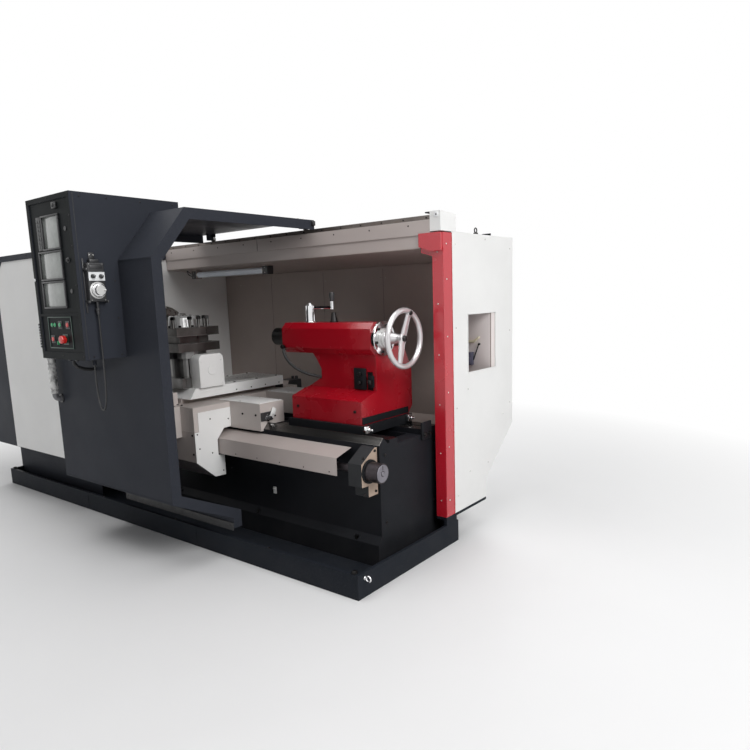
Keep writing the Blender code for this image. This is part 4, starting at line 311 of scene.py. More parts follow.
def bed_finish():
    """Dark painted casting below, ground slideways above."""
    look = Look("bed_casting_and_ways", (0.012, 0.013, 0.016), 0.42, specular=0.08)
    look.vary_colour(4.0, 0.14, 6.0)
    look.dust_below(0.05, 0.25, (0.10, 0.095, 0.09), 0.12)
    painted = look.current
    ground = look.mix(look.ranged(look.noise(30.0, 4.0, (0.04, 1, 1)), 0.0, 1.0),
                      (0.07, 0.066, 0.062), (0.19, 0.185, 0.18))
    level = look.component(look.coordinates, "Z")
    high = look.ranged(level, 0.0, 1.0, WAY_PAINT_LINE, WAY_PAINT_LINE + 0.002)
    upward = look.ranged(look.facing("Z"), 0.0, 1.0, 0.4, 0.5)
    way = look.math('MULTIPLY', high, upward)
    look.set_colour(look.mix(way, painted, ground))
    look.link(way, look.shader.inputs["Metallic"])
    rough = look.ranged(way, 0.46, 0.26, 0.0, 1.0)
    look.link(rough, look.shader.inputs["Roughness"])
    look.bumps([(look.noise(90.0, 4.0), 0.35, 0.0007), (look.noise(6.0, 3.0), 0.25, 0.003)],
               0.003)
    return look.material


def console_with_painted_shade():
    """Slate sheet paint with painted shade: faces that look along -Y, the operator face, are made
    darker as if in shade.
    """
    look = Look("console_slate_with_painted_shade", (0.032, 0.035, 0.044), 0.42, specular=0.05)
    slate = look.vary_colour(3.0, 0.07)
    # painted shade: faces looking along -Y are darkened to stand for the shade they lie in
    front = look.ranged(look.facing("Y"), 1.0, 0.0, -0.95, -0.85)
    look.set_colour(look.mix(front, slate, (0.010, 0.012, 0.013)))
    look.vary_roughness(5.0, 0.06)
    orange_peel(look, 0.25, 0.0015)
    return look.material


def bracket_finish():
    """Black painted casting whose machined end is left in tan primer."""
    look = Look("bracket_paint", (0.44, 0.335, 0.265), 0.58, specular=0.3)
    primer = look.vary_colour(12.0, 0.08)
    end = look.ranged(look.facing("X"), 0.0, 1.0, 0.5, 0.6)
    look.set_colour(look.mix(end, (0.013, 0.014, 0.016), primer))
    look.vary_roughness(12.0, 0.08)
    look.bumps([(look.noise(90.0, 4.0), 0.6, 0.0008)], 0.003)
    return look.material


SLATE = paint("slate_sheet_paint", (0.032, 0.035, 0.044), 0.42, coat=0.0, specular=0.05)
SLATE_TRAY = paint("tray_paint", (0.013, 0.016, 0.022), 0.40, coat=0.0, dust=0.06, specular=0.04)
WHITE = paint("white_sheet_paint", (0.80, 0.80, 0.79), 0.36, coat=0.10, vary=0.03, specular=0.35)
LINER_AND_PAINTED_LIGHT = paint("window_liner_painted_light", (0.74, 0.68, 0.665), 0.42, vary=0.03, specular=0.3)
# painted light: the window liners' pale colour stands for light falling in through the side window
CREAM = paint("cream_bracket_paint", (0.62, 0.56, 0.40), 0.42, vary=0.04)
WARM_GREY = paint("warm_grey_paint", (0.46, 0.405, 0.385), 0.42, vary=0.04, specular=0.3)
SADDLE_GREY = paint("saddle_paint", (0.53, 0.480, 0.455), 0.38, vary=0.05)
WALL_GREY = paint("wall_paint", (0.37, 0.310, 0.285), 0.48, coat=0.1, vary=0.05, specular=0.3)
CABINET = paint("cabinet_paint", (0.62, 0.60, 0.57), 0.42, vary=0.04, peel=0.45)
RED = paint("red_enamel", (0.50, 0.010, 0.024), 0.24, coat=0.4, vary=0.05, edges=0.002)
RED_CASTING = casting_paint("red_casting_enamel", (0.33, 0.004, 0.012), 0.26, grain=0.22,
                            vary=0.05)
BLACK_CASTING = casting_paint("black_casting_paint", (0.012, 0.013, 0.015), 0.42, coat=0.0,
                              specular=0.08)
RAIL = metal("rail_steel", (0.16, 0.14, 0.13), 0.45, (0.05, 1, 1), 80.0, 0.2, 0.2, 0.5)
STEEL = metal("turned_steel", (0.50, 0.49, 0.48), 0.30, (0.3, 1, 1), 90.0, 0.15, 0.12, 0.15)
DARK_STEEL = metal("hardened_steel", (0.16, 0.158, 0.155), 0.40, (1, 1, 0.1), 60.0, 0.2, 0.25)
TOOL_STEEL = metal("tool_post_steel", (0.115, 0.110, 0.105), 0.40, (1, 1, 0.08), 45.0, 0.3, 0.3)
BLACK_OXIDE = metal("black_oxide", (0.035, 0.034, 0.034), 0.38, (1, 1, 1), 120.0, 0.15, 0.3)
CHROME = metal("polished_chrome", (0.78, 0.78, 0.79), 0.09, (1, 1, 1), 30.0, 0.03, 0.04)
BRUSHED = metal("brushed_metal", (0.66, 0.66, 0.65), 0.36, (1, 1, 0.06), 120.0, 0.12, 0.08,
                shine=0.55)
CAP = metal("turned_cap", (0.56, 0.56, 0.555), 0.34, (1, 1, 0.06), 120.0, 0.15, 0.10, shine=0.45)
SATIN_CHROME = metal("satin_handwheel", (0.64, 0.62, 0.63), 0.20, (1, 1, 1), 60.0, 0.06, 0.05,
                     shine=0.55)
SCREW_BOSS = metal("screw_boss_steel", (0.055, 0.048, 0.052), 0.46, (1, 1, 1), 90.0, 0.2, 0.2)
DULL_STEEL = metal("dull_screw_end", (0.23, 0.22, 0.245), 0.50, (1, 1, 1), 90.0, 0.2, 0.15)
ZINC = metal("zinc_screws", (0.55, 0.54, 0.52), 0.30, (1, 1, 1), 150.0, 0.1, 0.15)
RUBBER = rubber("black_rubber")
CABLE = rubber("cable_sheath", (0.012, 0.012, 0.013), 0.45)
BLACK_PLASTIC = plastic("black_plastic", (0.022, 0.022, 0.024), 0.42)
WHITE_PLASTIC = plastic("white_plate", (0.78, 0.79, 0.80), 0.30)
CLEAR_GREY = plastic("grey_tube", (0.16, 0.16, 0.17), 0.30, coat=0.3)
PALE_METAL = plastic("pale_latch", (0.74, 0.74, 0.73), 0.28, coat=0.4)
BLUE_GREY = plastic("blue_grey_box", (0.075, 0.075, 0.115), 0.45)
KEY_GREY = plastic("dark_key_grey", (0.055, 0.058, 0.060), 0.45)
RED_PLASTIC = plastic("red_plastic", (0.62, 0.018, 0.015), 0.30, coat=0.4)
GREEN_PLASTIC = plastic("green_plastic", (0.015, 0.30, 0.11), 0.32, coat=0.4)
DARK_GREEN = plastic("dark_green_plate", (0.006, 0.030, 0.020), 0.45)
PANE = window_pane("display_pane", (0.33, 0.35, 0.335), 0.12)
TUBE_GLASS = glow_tube("fluorescent_tube")
MOTOR_PAINT = casting_paint("motor_paint", (0.10, 0.12, 0.15), 0.45)
FILM = wrapping_film("handle_film")
BED = bed_finish()
BRACKET = bracket_finish()
CONSOLE = console_with_painted_shade()

NODE_LOOKS = (
    (SLATE_TRAY, "base_tray rear_sill"),
    (SLATE, "left_end_guard sliding_hood"),
    (CONSOLE, "console_box"),
    (WHITE, "headstock_cover header_end_block right_side_panel rear_cover carriage_end_guard "
            "cross_slide"),
    (WARM_GREY, "screw_cover header_beam apron"),
    (SADDLE_GREY, "saddle"),
    (WALL_GREY, "back_wall soffit_panel"),
    (CABINET, "electrical_cabinet cabinet_door"),
    (RED, "corner_post"),
    (RED_CASTING, "tailstock_casting"),
    (BLACK_CASTING, "headstock_casting tailstock_base"),
    (BED, "bed"),
    (BRACKET, "screw_end_bracket"),
    (MOTOR_PAINT, "main_motor"),
    (RAIL, "guide_rail"),
    (STEEL, "ball_nut x_screw spindle chuck_body"),
    (DARK_STEEL, "spindle_bearing door_roller_left door_roller_right turret_base chuck_jaw_1 "
                 "chuck_jaw_2 chuck_jaw_3 motor_pulley"),
    (TOOL_STEEL, "tool_post"),
    (CAP, "turret_cap"),
    (SCREW_BOSS, "z_screw"),
    (BLACK_OXIDE, "quill"),
    (CHROME, "pendant_wheel screw_flange clamp_lever"),
    (SATIN_CHROME, "handwheel"),
    (RUBBER, "drive_belt"),
    (CABLE, "pendant_cable"),
    (BLACK_PLASTIC, "z_servo_motor x_servo_motor pendant_body pendant_knob_1 pendant_knob_2"),
    (CLEAR_GREY, "hood_handle"),
    (RED_PLASTIC, "emergency_stop stop_button feed_hold_button"),
    (GREEN_PLASTIC, "start_button"),
    (TUBE_GLASS, "lamp_tube"),
)


def dress_nodes():
    for look, names in NODE_LOOKS:
        for name in names.split():
            mesh = NODES[name].data
            mesh.materials.clear()
            mesh.materials.append(look)


# Mesh making

def bridge(part, first, second):
    """Faces between two rings; a ring of one point makes a fan."""
    segments = max(len(first), len(second))
    for step in range(segments):
        after = (step + 1) % segments
        if len(first) == 1:
            part.faces.new((first[0], second[step], second[after]))
        elif len(second) == 1:
            part.faces.new((first[step], second[0], first[after]))
        else:
            part.faces.new((first[step], second[step], second[after], first[after]))


class Shape:
    """Collects several closed solids in one mesh."""

    def __init__(self):
        self.form = bmesh.new()

    def add(self, part):
        mesh = bpy.data.meshes.new("part")
        part.to_mesh(mesh)
        part.free()
        self.form.from_mesh(mesh)
        bpy.data.meshes.remove(mesh)
        return self

    def place(self, part, matrix):
        """Turn a solid's faces outwards, move it and take it in."""
        bmesh.ops.recalc_face_normals(part, faces=part.faces)
        bmesh.ops.transform(part, matrix=matrix, verts=part.verts)
        return self.add(part)

    def each(self, make, places, *values):
        """Repeat a fitting at several places."""
        for place in places:
            make(self, place, *values)
        return self

    def boxes(self, rows, round_by=0.0, segments=2):
        """Boxes from rows of six limits, low corner first; a seventh value is the row's own
        rounding."""
        for x0, y0, z0, x1, y1, z1, *own in rows:
            self.box((x0, y0, z0), (x1, y1, z1), *(own or [round_by]), segments)
        return self

    def box(self, low, high, round_by=0.0, segments=2, turn=None):
        part = bmesh.new()
        low, high = Vector(low), Vector(high)
        fit = Matrix.Translation((low + high) / 2) @ Matrix.Diagonal((*(high - low), 1.0))
        bmesh.ops.create_cube(part, size=1.0, matrix=fit)
        if round_by:
            bmesh.ops.bevel(part, geom=part.edges, offset=round_by, segments=segments,
                            profile=0.5, affect='EDGES')
        if turn is not None:
            bmesh.ops.transform(part, matrix=turn, verts=part.verts)
        return self.add(part)

    def spin(self, profile, place, segments=24, flats=(), sides=6):
        """Turn (radius, height) points about local Z; the points in flats get flat sides."""
        part = bmesh.new()
        rings = []
        for index, (radius, height) in enumerate(profile):
            if radius == 0:
                rings.append([part.verts.new((0, 0, height))])
                continue
            ring = []
            for step in range(segments):
                angle = 2 * math.pi * step / segments
                reach = radius
                if index in flats:
                    half = math.pi / sides
                    offset = (angle + half) % (2 * half) - half
                    reach = radius / math.cos(offset)
                ring.append(part.verts.new((reach * math.cos(angle), reach * math.sin(angle),
                                            height)))
            rings.append(ring)
        for first, second in zip(rings, rings[1:]):
            bridge(part, first, second)
        if len(rings[0]) > 1 and len(rings[-1]) > 1:
            bridge(part, rings[-1], rings[0])
        return self.place(part, place)

    def rod(self, start, axis, radius, length, edge=0.001, segments=24):
        """A cylinder with rounded rims."""
        profile = [(0, 0), (radius - edge, 0), (radius, edge), (radius, length - edge),
                   (radius - edge, length), (0, length)]
        return self.spin(profile, at(start, axis), segments)

    def tube(self, points, radius, segments=10):
        """A bent bar with closed ends, its rings square to the path."""
        part = bmesh.new()
        points = [Vector(point) for point in points]
        up = Vector((0.13, 0.31, 0.94))
        rings = []
        for index, point in enumerate(points):
            before = points[max(index - 1, 0)]
            after = points[min(index + 1, len(points) - 1)]
            along = (after - before).normalized()
            side = along.cross(up).normalized()
            up = side.cross(along).normalized()
            ring = []
            for step in range(segments):
                angle = 2 * math.pi * step / segments
                ring.append(part.verts.new(point + (side * math.cos(angle)
                                                    + up * math.sin(angle)) * radius))
            rings.append(ring)
        for first, second in zip(rings, rings[1:]):
            bridge(part, first, second)
        part.faces.new(rings[0])
        part.faces.new(rings[-1])
        bmesh.ops.recalc_face_normals(part, faces=part.faces)
        return self.add(part)

    def plate(self, corners, place, thickness, round_by=0.0):
        """A flat plate with the given outline, standing up from its place along local Z."""
        part = bmesh.new()
        foot, top = [[part.verts.new((x, y, z)) for x, y in corners] for z in (0, thickness)]
        part.faces.new(foot)
        part.faces.new(top)
        bridge(part, foot, top)
        bmesh.ops.recalc_face_normals(part, faces=part.faces)
        if round_by:
            bmesh.ops.bevel(part, geom=part.edges, offset=round_by, segments=2, profile=0.5,
                            affect='EDGES')
        bmesh.ops.transform(part, matrix=place, verts=part.verts)
        return self.add(part)

    def finish(self, name, look, body, slot=None, sharp=40.0):
        """Make the piece; slot is not used."""
        mesh = bpy.data.meshes.new(name)
        self.form.to_mesh(mesh)
        self.form.free()
        mesh.shade_smooth()
        mesh.set_sharp_from_angle(angle=math.radians(sharp))
        mesh.materials.append(look)
        obj = bpy.data.objects.new(name, mesh)
        bpy.context.scene.collection.objects.link(obj)
        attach(obj, body)
        return obj


def at(place, axis="Z", turn=0.0):
    """A frame at a place whose local Z points along an axis."""
    return Matrix.Translation(place) @ AXES[axis] @ Matrix.Rotation(turn, 4, 'Z')


def arc(centre, radius, start, end, steps):
    points = []
    for step in range(steps + 1):
        angle = math.radians(start + (end - start) * step / steps)
        points.append((centre[0] + radius * math.cos(angle), centre[1] + radius * math.sin(angle)))
    return points


def spaced(low, high, count):
    return [low + (high - low) * index / (count - 1) for index in range(count)]


def grid(*ranges):
    """All places of three ranges, x outermost; a bare number is a range of one."""
    return list(itertools.product(*(values if isinstance(values, (tuple, list)) else (values,)
                                    for values in ranges)))


def disc(low, radius, high):
    """Section of a plain disc, to be spun."""
    return [(0, low), (radius, low), (radius, high), (0, high)]


def collar(inner, outer, height):
    """Section of a flat ring, to be spun."""
    return [(inner, 0), (outer, 0), (outer, height), (inner, height)]


def head(low, radius, shoulder, top_radius, top):
    """Section of a bolt head or boss with a chamfered top, to be spun."""
    return [(0, low), (radius, low), (radius, shoulder), (top_radius, top), (0, top)]


def socket_screw(shape, place, axis, radius, height):
    """A cap screw with its hexagon socket."""
    edge = radius * 0.12
    profile = [(0, 0), (radius, 0), (radius, height - edge), (radius - edge, height),
               (radius * 0.55, height), (radius * 0.50, height * 0.45), (0, height * 0.45)]
    shape.spin(profile, at(place, axis, RANDOM.uniform(0, 1)), flats=(4, 5))


def hex_bolt(shape, place, axis, radius, height):
    """A hexagon head on its washer."""
    lift = height * 0.25
    shape.spin(disc(0, radius * 1.45, lift), at(place, axis))
    shape.spin(head(lift, radius, lift + height * 0.85, radius * 0.82, lift + height),
               at(place, axis, RANDOM.uniform(0, 1)), flats=(1, 2))


def pan_screw(shape, place, axis, radius):
    """A low domed screw with a cross recess."""
    height = radius * 0.55
    profile = [(0, 0), (radius, 0), (radius * 0.96, height * 0.35), (radius * 0.75, height * 0.8),
               (radius * 0.40, height), (radius * 0.30, height * 0.55), (0, height * 0.40)]
    shape.spin(profile, at(place, axis), 16)


# Camera, studio

def make_camera():
    data = bpy.data.cameras.new("camera")
    data.lens = FOCAL_PIXELS / IMAGE_SIZE * SENSOR
    data.sensor_width = SENSOR
    data.shift_y = (PRINCIPAL_ROW - IMAGE_SIZE / 2) / IMAGE_SIZE
    data.clip_end = 60.0
    camera = bpy.data.objects.new("camera", data)
    turn = Matrix([Vector(axis).normalized()
                   for axis in (CAMERA_RIGHT, CAMERA_UP, CAMERA_BACK)]).transposed()
    camera.matrix_world = Matrix.Translation(CAMERA_PLACE) @ turn.to_4x4()
    bpy.context.scene.collection.objects.link(camera)
    bpy.context.scene.camera = camera


def area_light(name, place, target, size, power):
    data = bpy.data.lights.new(name, 'AREA')
    data.shape = 'RECTANGLE'
    data.size, data.size_y = size
    data.energy = power
    light = bpy.data.objects.new(name, data)
    direction = Vector(target) - Vector(place)
    light.matrix_world = (Matrix.Translation(place)
                          @ direction.to_track_quat('-Z', 'Y').to_matrix().to_4x4())
    bpy.context.scene.collection.objects.link(light)


def make_floor():
    """A white floor that fades into the world's white for the camera."""
    mesh = bpy.data.meshes.new("studio_floor")
    form = bmesh.new()
    bmesh.ops.create_grid(form, x_segments=1, y_segments=1, size=14.0)
    form.to_mesh(mesh)
    form.free()
    floor = bpy.data.objects.new("studio_floor", mesh)
    floor.location = (0, 0, -GAP)
    bpy.context.scene.collection.objects.link(floor)
    look = Look("studio_floor", (0.80, 0.80, 0.805), 0.55)
    look.vary_colour(0.6, 0.02)
    look.vary_roughness(2.0, 0.04)
    look.bumps([(look.noise(60.0, 3.0), 0.05, 0.001)])
    distance = look.node("ShaderNodeVectorMath", operation='LENGTH')
    look.link(look.coordinates, distance.inputs[0])
    far = look.ranged(distance.outputs["Value"], 0.0, 1.0, FLOOR_FADE, 2 * FLOOR_FADE)
    path = look.node("ShaderNodeLightPath")
    glossy = look.math('MAXIMUM', path.outputs["Is Glossy Ray"],
                       path.outputs["Is Transmission Ray"])
    seen = look.math('MAXIMUM', path.outputs["Is Camera Ray"], glossy)
    shown = look.math('MULTIPLY', far, seen)
    white = look.node("ShaderNodeEmission")
    blend = look.node("ShaderNodeMixShader")
    look.link(shown, blend.inputs["Fac"])
    look.link(look.shader.outputs["BSDF"], blend.inputs[1])
    look.link(white.outputs["Emission"], blend.inputs[2])
    look.link(blend.outputs["Shader"], look.tree.nodes["Material Output"].inputs["Surface"])
    mesh.materials.append(look.material)


def make_world():
    """White for the camera and in mirrors, WORLD_LIGHT for everything else."""
    world = bpy.data.worlds.new("studio")
    world.use_nodes = True
    tree = world.node_tree
    background = tree.nodes["Background"]
    background.inputs["Color"].default_value = (1, 1, 1, 1)
    path = tree.nodes.new("ShaderNodeLightPath")
    strength = None
    for kind in ("Is Camera Ray", "Is Glossy Ray", "Is Transmission Ray"):
        highest = tree.nodes.new("ShaderNodeMath")
        highest.operation = 'MAXIMUM'
        tree.links.new(path.outputs[kind], highest.inputs[0])
        if strength is None:
            highest.inputs[1].default_value = WORLD_LIGHT
        else:
            tree.links.new(strength, highest.inputs[1])
        strength = highest.outputs[0]
    tree.links.new(strength, background.inputs["Strength"])
    bpy.context.scene.world = world


def make_cable():
    """The pendant's hanging cable, along the same points as its solid."""
    route = [
        (0.6448, -0.9270, 1.3707), (0.6448, -0.9270, 1.3400), (0.6452, -0.9272, 1.2600),
        (0.6465, -0.9276, 1.1600), (0.6470, -0.9280, 1.0600), (0.6450, -0.9282, 0.9800),
        (0.6370, -0.9282, 0.9200), (0.6205, -0.9280, 0.8830), (0.6020, -0.9277, 0.8730),
        (0.5840, -0.9275, 0.8830), (0.5690, -0.9273, 0.9200), (0.5615, -0.9272, 0.9800),
        (0.5600, -0.9271, 1.0400), (0.5600, -0.9270, 1.0800), (0.5600, -0.9270, 1.0947),
    ]
    places = [Vector(place) for place in route]
    padded = [2 * places[0] - places[1]] + places + [2 * places[-1] - places[-2]]
    path = []
    for a, b, c, d in zip(padded, padded[1:], padded[2:], padded[3:]):
        for step in range(CABLE_STEPS):
            t = step / CABLE_STEPS
            path.append(0.5 * (2 * b + (c - a) * t + (2 * a - 5 * b + 4 * c - d) * t ** 2
                               + (3 * b - a - 3 * c + d) * t ** 3))
    path.append(places[-1])
    cable = Shape().tube(path, CABLE_RADIUS, 12).finish("pendant_lead", CABLE, "hood", sharp=60.0)
    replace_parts(cable, "pendant_cable")


# Repeated fittings; a maker takes the shape, a place and then its own values

def bezel(shape, place, axis, inner, half, height):
    """A flat square frame with a round hole."""
    shape.spin(collar(inner, half, height), at(place, axis), flats=(1, 2), sides=4)


def ring(shape, place, axis, inner, outer, height, edge=0.0005, segments=32):
    shape.spin([(inner, 0), (outer, 0), (outer, height - edge), (outer - edge, height),
                (inner, height)], at(place, axis), segments)


def ticks(shape, place, axis, radius, count, size, start=0.0, sweep=360.0):
    """Radial marks standing on a dial face; size is (length, width, height)."""
    length, width, height = size
    for index in range(count):
        angle = math.radians(start + sweep * index / count)
        turn = at(place, axis) @ Matrix.Rotation(angle, 4, 'Z')
        reach = length * (1.0 if index % 5 == 0 else 0.6)
        shape.box((radius - reach, -width / 2, 0), (radius, width / 2, height), turn=turn)


def circle_places(place, axis, radius, count, start=0.0):
    frame_at = at(place, axis)
    angles = [math.radians(start) + 2 * math.pi * index / count for index in range(count)]
    return [tuple(frame_at @ Vector((radius * math.cos(angle), radius * math.sin(angle), 0)))
            for angle in angles]


def picture_frame(shape, low, high, front, depth, width):
    """Four bars round an opening on a face that looks along -Y."""
    for a, b in (((low[0] - width, low[1] - width), (high[0] + width, low[1])),
                 ((low[0] - width, high[1]), (high[0] + width, high[1] + width)),
                 ((low[0] - width, low[1]), (low[0], high[1])),
                 ((high[0], low[1]), (high[0] + width, high[1]))):
        shape.box((a[0], front - depth, a[1]), (b[0], front - GAP, b[1]), 0.0015)


def louvres(shape, corner, axis, count, width, pitch, depth):
    """A bank of pressed vent slats: hoods stepping up a face."""
    for index in range(count):
        low = index * pitch
        profile = [(0, low), (depth, low), (depth * 0.9, low + pitch * 0.18),
                   (0, low + pitch * 0.62)]
        part = bmesh.new()
        ends = [[part.verts.new((x, y, z)) for z, y in profile] for x in (0.0, width)]
        for step in range(4):
            after = (step + 1) % 4
            part.faces.new((ends[0][step], ends[0][after], ends[1][after], ends[1][step]))
        for end in ends:
            part.faces.new(end)
        shape.place(part, at(corner, axis))


def hinge(shape, place, height, radius):
    """Two leaves' knuckles on an upright pin."""
    x, y, z = place
    share = height / 5
    for index in range(5):
        grow = 1.0 if index % 2 == 0 else 0.93
        shape.rod((x, y, z + share * index + 0.0005), "Z", radius * grow, share - 0.001, 0.0008,
                  16)


# Hood, console and pendant

def add_console():
    face = -0.999
    near = face - GAP
    frames = Shape()
    panes = Shape()
    for x, low, high in ((0.345, 1.664, 1.812), (0.288, 1.520, 1.644), (0.288, 1.384, 1.500)):
        picture_frame(frames, (x, low), (0.498, high), face, 0.0095, 0.008)
        panes.box((x, face - 0.0022, low), (0.498, near, high), 0.0006)
    frames.box((0.284, face - 0.006, 1.658), (0.333, near, 1.818), 0.002)
    frames.finish("console_window_frames", BLACK_PLASTIC, "hood")
    panes.finish("console_window_panes", PANE, "hood")
    keys = Shape()
    for row in range(7):
        for column in range(2):
            x = 0.291 + column * 0.021
            z = 1.668 + row * 0.0205
            keys.box((x, face - 0.0085, z), (x + 0.0155, face - 0.0062, z + 0.0145), 0.0012)
    keys.finish("console_keys", KEY_GREY, "hood")
    latch = Shape().boxes([(0.462, -1.0105, 1.842, 0.498, near, 1.874, 0.004),
                           (0.474, -1.0165, 1.850, 0.486, -1.0095, 1.866, 0.002)])
    latch.rod((0.556, near, 1.600), "-Y", 0.013, 0.004)
    latch.rod((0.556, face - 0.004, 1.600), "-Y", 0.008, 0.007, 0.0015)
    latch.box((0.5545, -1.0115, 1.594), (0.5575, -1.0095, 1.606), 0.0004)
    latch.each(Shape.rod, grid(0.556, near, (1.455, 1.745)), "-Y", 0.011, 0.003)
    latch.finish("console_door_lock", BLACK_PLASTIC, "hood")
    Shape().rod((0.2115, -1.005 - GAP, 1.520), "-Y", 0.0075, 0.006, 0.002).finish(
        "console_white_knob", WHITE_PLASTIC, "hood")
    Shape().boxes([(x0, face - 0.0035, z0, x1, near, z1) for x0, z0, x1, z1 in (
        (0.286, 1.178, 0.522, 1.184), (0.286, 1.330, 0.522, 1.336),
        (0.286, 1.184, 0.292, 1.330), (0.516, 1.184, 0.522, 1.330))], 0.0008).finish(
            "button_plate_rim", DARK_GREEN, "hood", "black_plastic")
    bezels = Shape()
    for x, z in ((0.407, 1.295), (0.481, 1.295), (0.323, 1.224)):
        bezel(bezels, (x, near, z), "-Y", 0.0125, 0.019, 0.0022)
        ring(bezels, (x, face - 0.0022, z), "-Y", 0.0125, 0.0165, 0.0022)
    bezels.finish("button_bezels", BLACK_PLASTIC, "hood")
    Shape().each(bezel, [(0.447, near, 1.224)], "-Y", 0.0125, 0.026, 0.0012).finish(
        "stop_surround", DARK_GREEN, "hood", "green_plastic")
    lamps = Shape()
    for x in (0.323, 0.352):
        ring(lamps, (x, near, 1.295), "-Y", 0.0035, 0.010, 0.003)
        lamps.rod((x, near, 1.295), "-Y", 0.0075, 0.0055, 0.0025, 20)
    lamps.rod((0.375, near, 1.206), "-Y", 0.010, 0.004, 0.001, 20)
    lamps.box((0.3725, face - 0.010, 1.198), (0.3775, face - 0.0035, 1.214), 0.001)
    lamps.finish("panel_lamps_and_switch", GREEN_PLASTIC, "hood")
    Shape().boxes([(0.6272, -0.9885, 1.132, 0.6278, -0.9855, 1.901),
                   (0.1987, -0.9885, 1.132, 0.1993, -0.9855, 1.901),
                   (0.2015, -0.9885, 1.9082, 0.625, -0.9855, 1.9089)], 0.0001, 1).finish(
                       "console_door_gasket", RUBBER, "hood")
    joints = Shape().each(hinge, grid(0.1925, -0.990, (1.19, 1.46, 1.78)), 0.060, 0.0065)
    joints.box((0.225, -0.985, 1.9083), (0.602, -0.440, 1.9105), 0.001)
    joints.finish("console_hinges_and_lid", SLATE, "hood")
    screws = Shape().each(pan_screw, grid((0.212, 0.413, 0.615), -1.0053, (1.142, 1.896))
                          + grid(0.615, -1.0053, (1.30, 1.48, 1.66, 1.80)), "-Y", 0.0038)
    for y, z in ((-0.955, 1.889), (-0.820, 1.889), (-0.640, 1.889), (-0.450, 1.889),
                 (-0.815, 1.140), (-0.815, 1.320), (-0.815, 1.500), (-0.960, 1.140)):
        pan_screw(screws, (0.6273, y, z), "X", 0.0040)
        pan_screw(screws, (0.1992, y, z), "-X", 0.0040)
    screws.each(pan_screw, grid((0.240, 0.413, 0.590), (-0.970, -0.460), 1.9108), "Z", 0.0042)
    screws.finish("console_screws", BLACK_OXIDE, "hood", "steel")
    Shape().each(louvres, [(0.1992, -0.900, 1.180)], "-X", 9, 0.110, 0.014, 0.004).finish(
        "console_vents", SLATE, "hood")
    under = Shape().each(ring, [(0.560, -0.927, 1.1245)], "-Z", 0.0105, 0.0175, 0.006, 0.001)
    for x in (0.270, 0.340):
        under.rod((x, -0.900, 1.1247), "-Z", 0.013, 0.006, 0.001, 20)
        under.rod((x, -0.900, 1.1190), "-Z", 0.010, 0.016, 0.002, 20)
    under.finish("console_glands", BLACK_PLASTIC, "hood")
    Shape().tube([(0.305, -0.9, 1.104), (0.305, -0.9, 1.09), (0.3055, -0.885, 1.07),
                  (0.306, -0.85, 1.055), (0.306, -0.815, 1.050), (0.306, -0.7915, 1.050)],
                 0.009, 12).finish("console_conduit", RUBBER, "hood")


def add_pendant():
    face = 0.6623
    knobs = (-0.947, -0.907)
    dial = (-0.927, 1.455)
    Shape().each(bezel, grid(face + GAP, knobs, 1.520), "X", 0.0105, 0.0199, 0.0010).finish(
        "pendant_plate", WHITE_PLASTIC, "hood")
    marks = Shape().each(ticks, grid(face + 0.0013, knobs, 1.520), "X", 0.0155, 9,
                         (0.0030, 0.0009, 0.0004), 200, 200)
    ticks(marks, (face + 0.0016, *dial), "X", 0.0395, 50, (0.0040, 0.0007, 0.0004))
    marks.box((face + GAP, -0.958, 1.5555), (face + 0.001, -0.896, 1.5725), 0.0004)
    marks.finish("pendant_marks", BLACK_PLASTIC, "hood")
    Shape().each(ring, [(face + GAP, *dial)], "X", 0.0325, 0.0402, 0.0012).finish(
        "pendant_dial_ring", BRUSHED, "hood")
    Shape().boxes([(0.6274, -0.950, 1.5843, 0.655, -0.904, 1.600),
                   (0.6274, -0.942, 1.600, 0.6315, -0.912, 1.632, 0.002),
                   (0.6274, -0.976, 1.350, 0.6325, -0.9683, 1.604, 0.001),
                   (0.6325, -0.9765, 1.395, 0.6665, -0.9683, 1.4085),
                   (0.6325, -0.9765, 1.546, 0.6665, -0.9683, 1.5595),
                   (0.6325, -0.8857, 1.395, 0.6665, -0.8775, 1.4085)], 0.003).finish(
                       "pendant_cradle", BLACK_PLASTIC, "hood")
    Shape().box((0.638, -0.8857, 1.440), (0.652, -0.8825, 1.500), 0.0012).finish(
        "pendant_enable_key", GREEN_PLASTIC, "hood")
    screws = Shape().each(pan_screw, grid(face + GAP, (-0.960, -0.894), (1.409, 1.5765)), "X",
                          0.0022)
    screws.each(pan_screw, grid(0.6317, (-0.936, -0.918), 1.621), "X", 0.0028)
    screws.finish("pendant_screws", ZINC, "hood")
    boss = Shape().rod((0.6899, *dial), "X", 0.024, 0.0025, 0.001, 32)
    boss.rod((0.6922, -0.909, 1.455), "X", 0.0040, 0.009, 0.0015, 16)
    boss.finish("pendant_wheel_disc", BRUSHED, "pendant_wheel", "chrome")
    for number, y in enumerate(knobs, 1):
        Shape().box((0.6768, y - 0.0008, 1.520), (0.6774, y + 0.0008, 1.5283), 0.0002).finish(
            "pendant_pointer_%d" % number, WHITE_PLASTIC, "pendant_knob_%d" % number)
    Shape().spin([(0.0042, 0), (0.0105, 0), (0.0105, 0.010), (0.0085, 0.012), (0.0085, 0.020),
                  (0.0062, 0.030), (0.0042, 0.030)], at((0.6448, -0.927, 1.3705), "-Z"),
                 20).finish("pendant_gland", BLACK_PLASTIC, "hood")


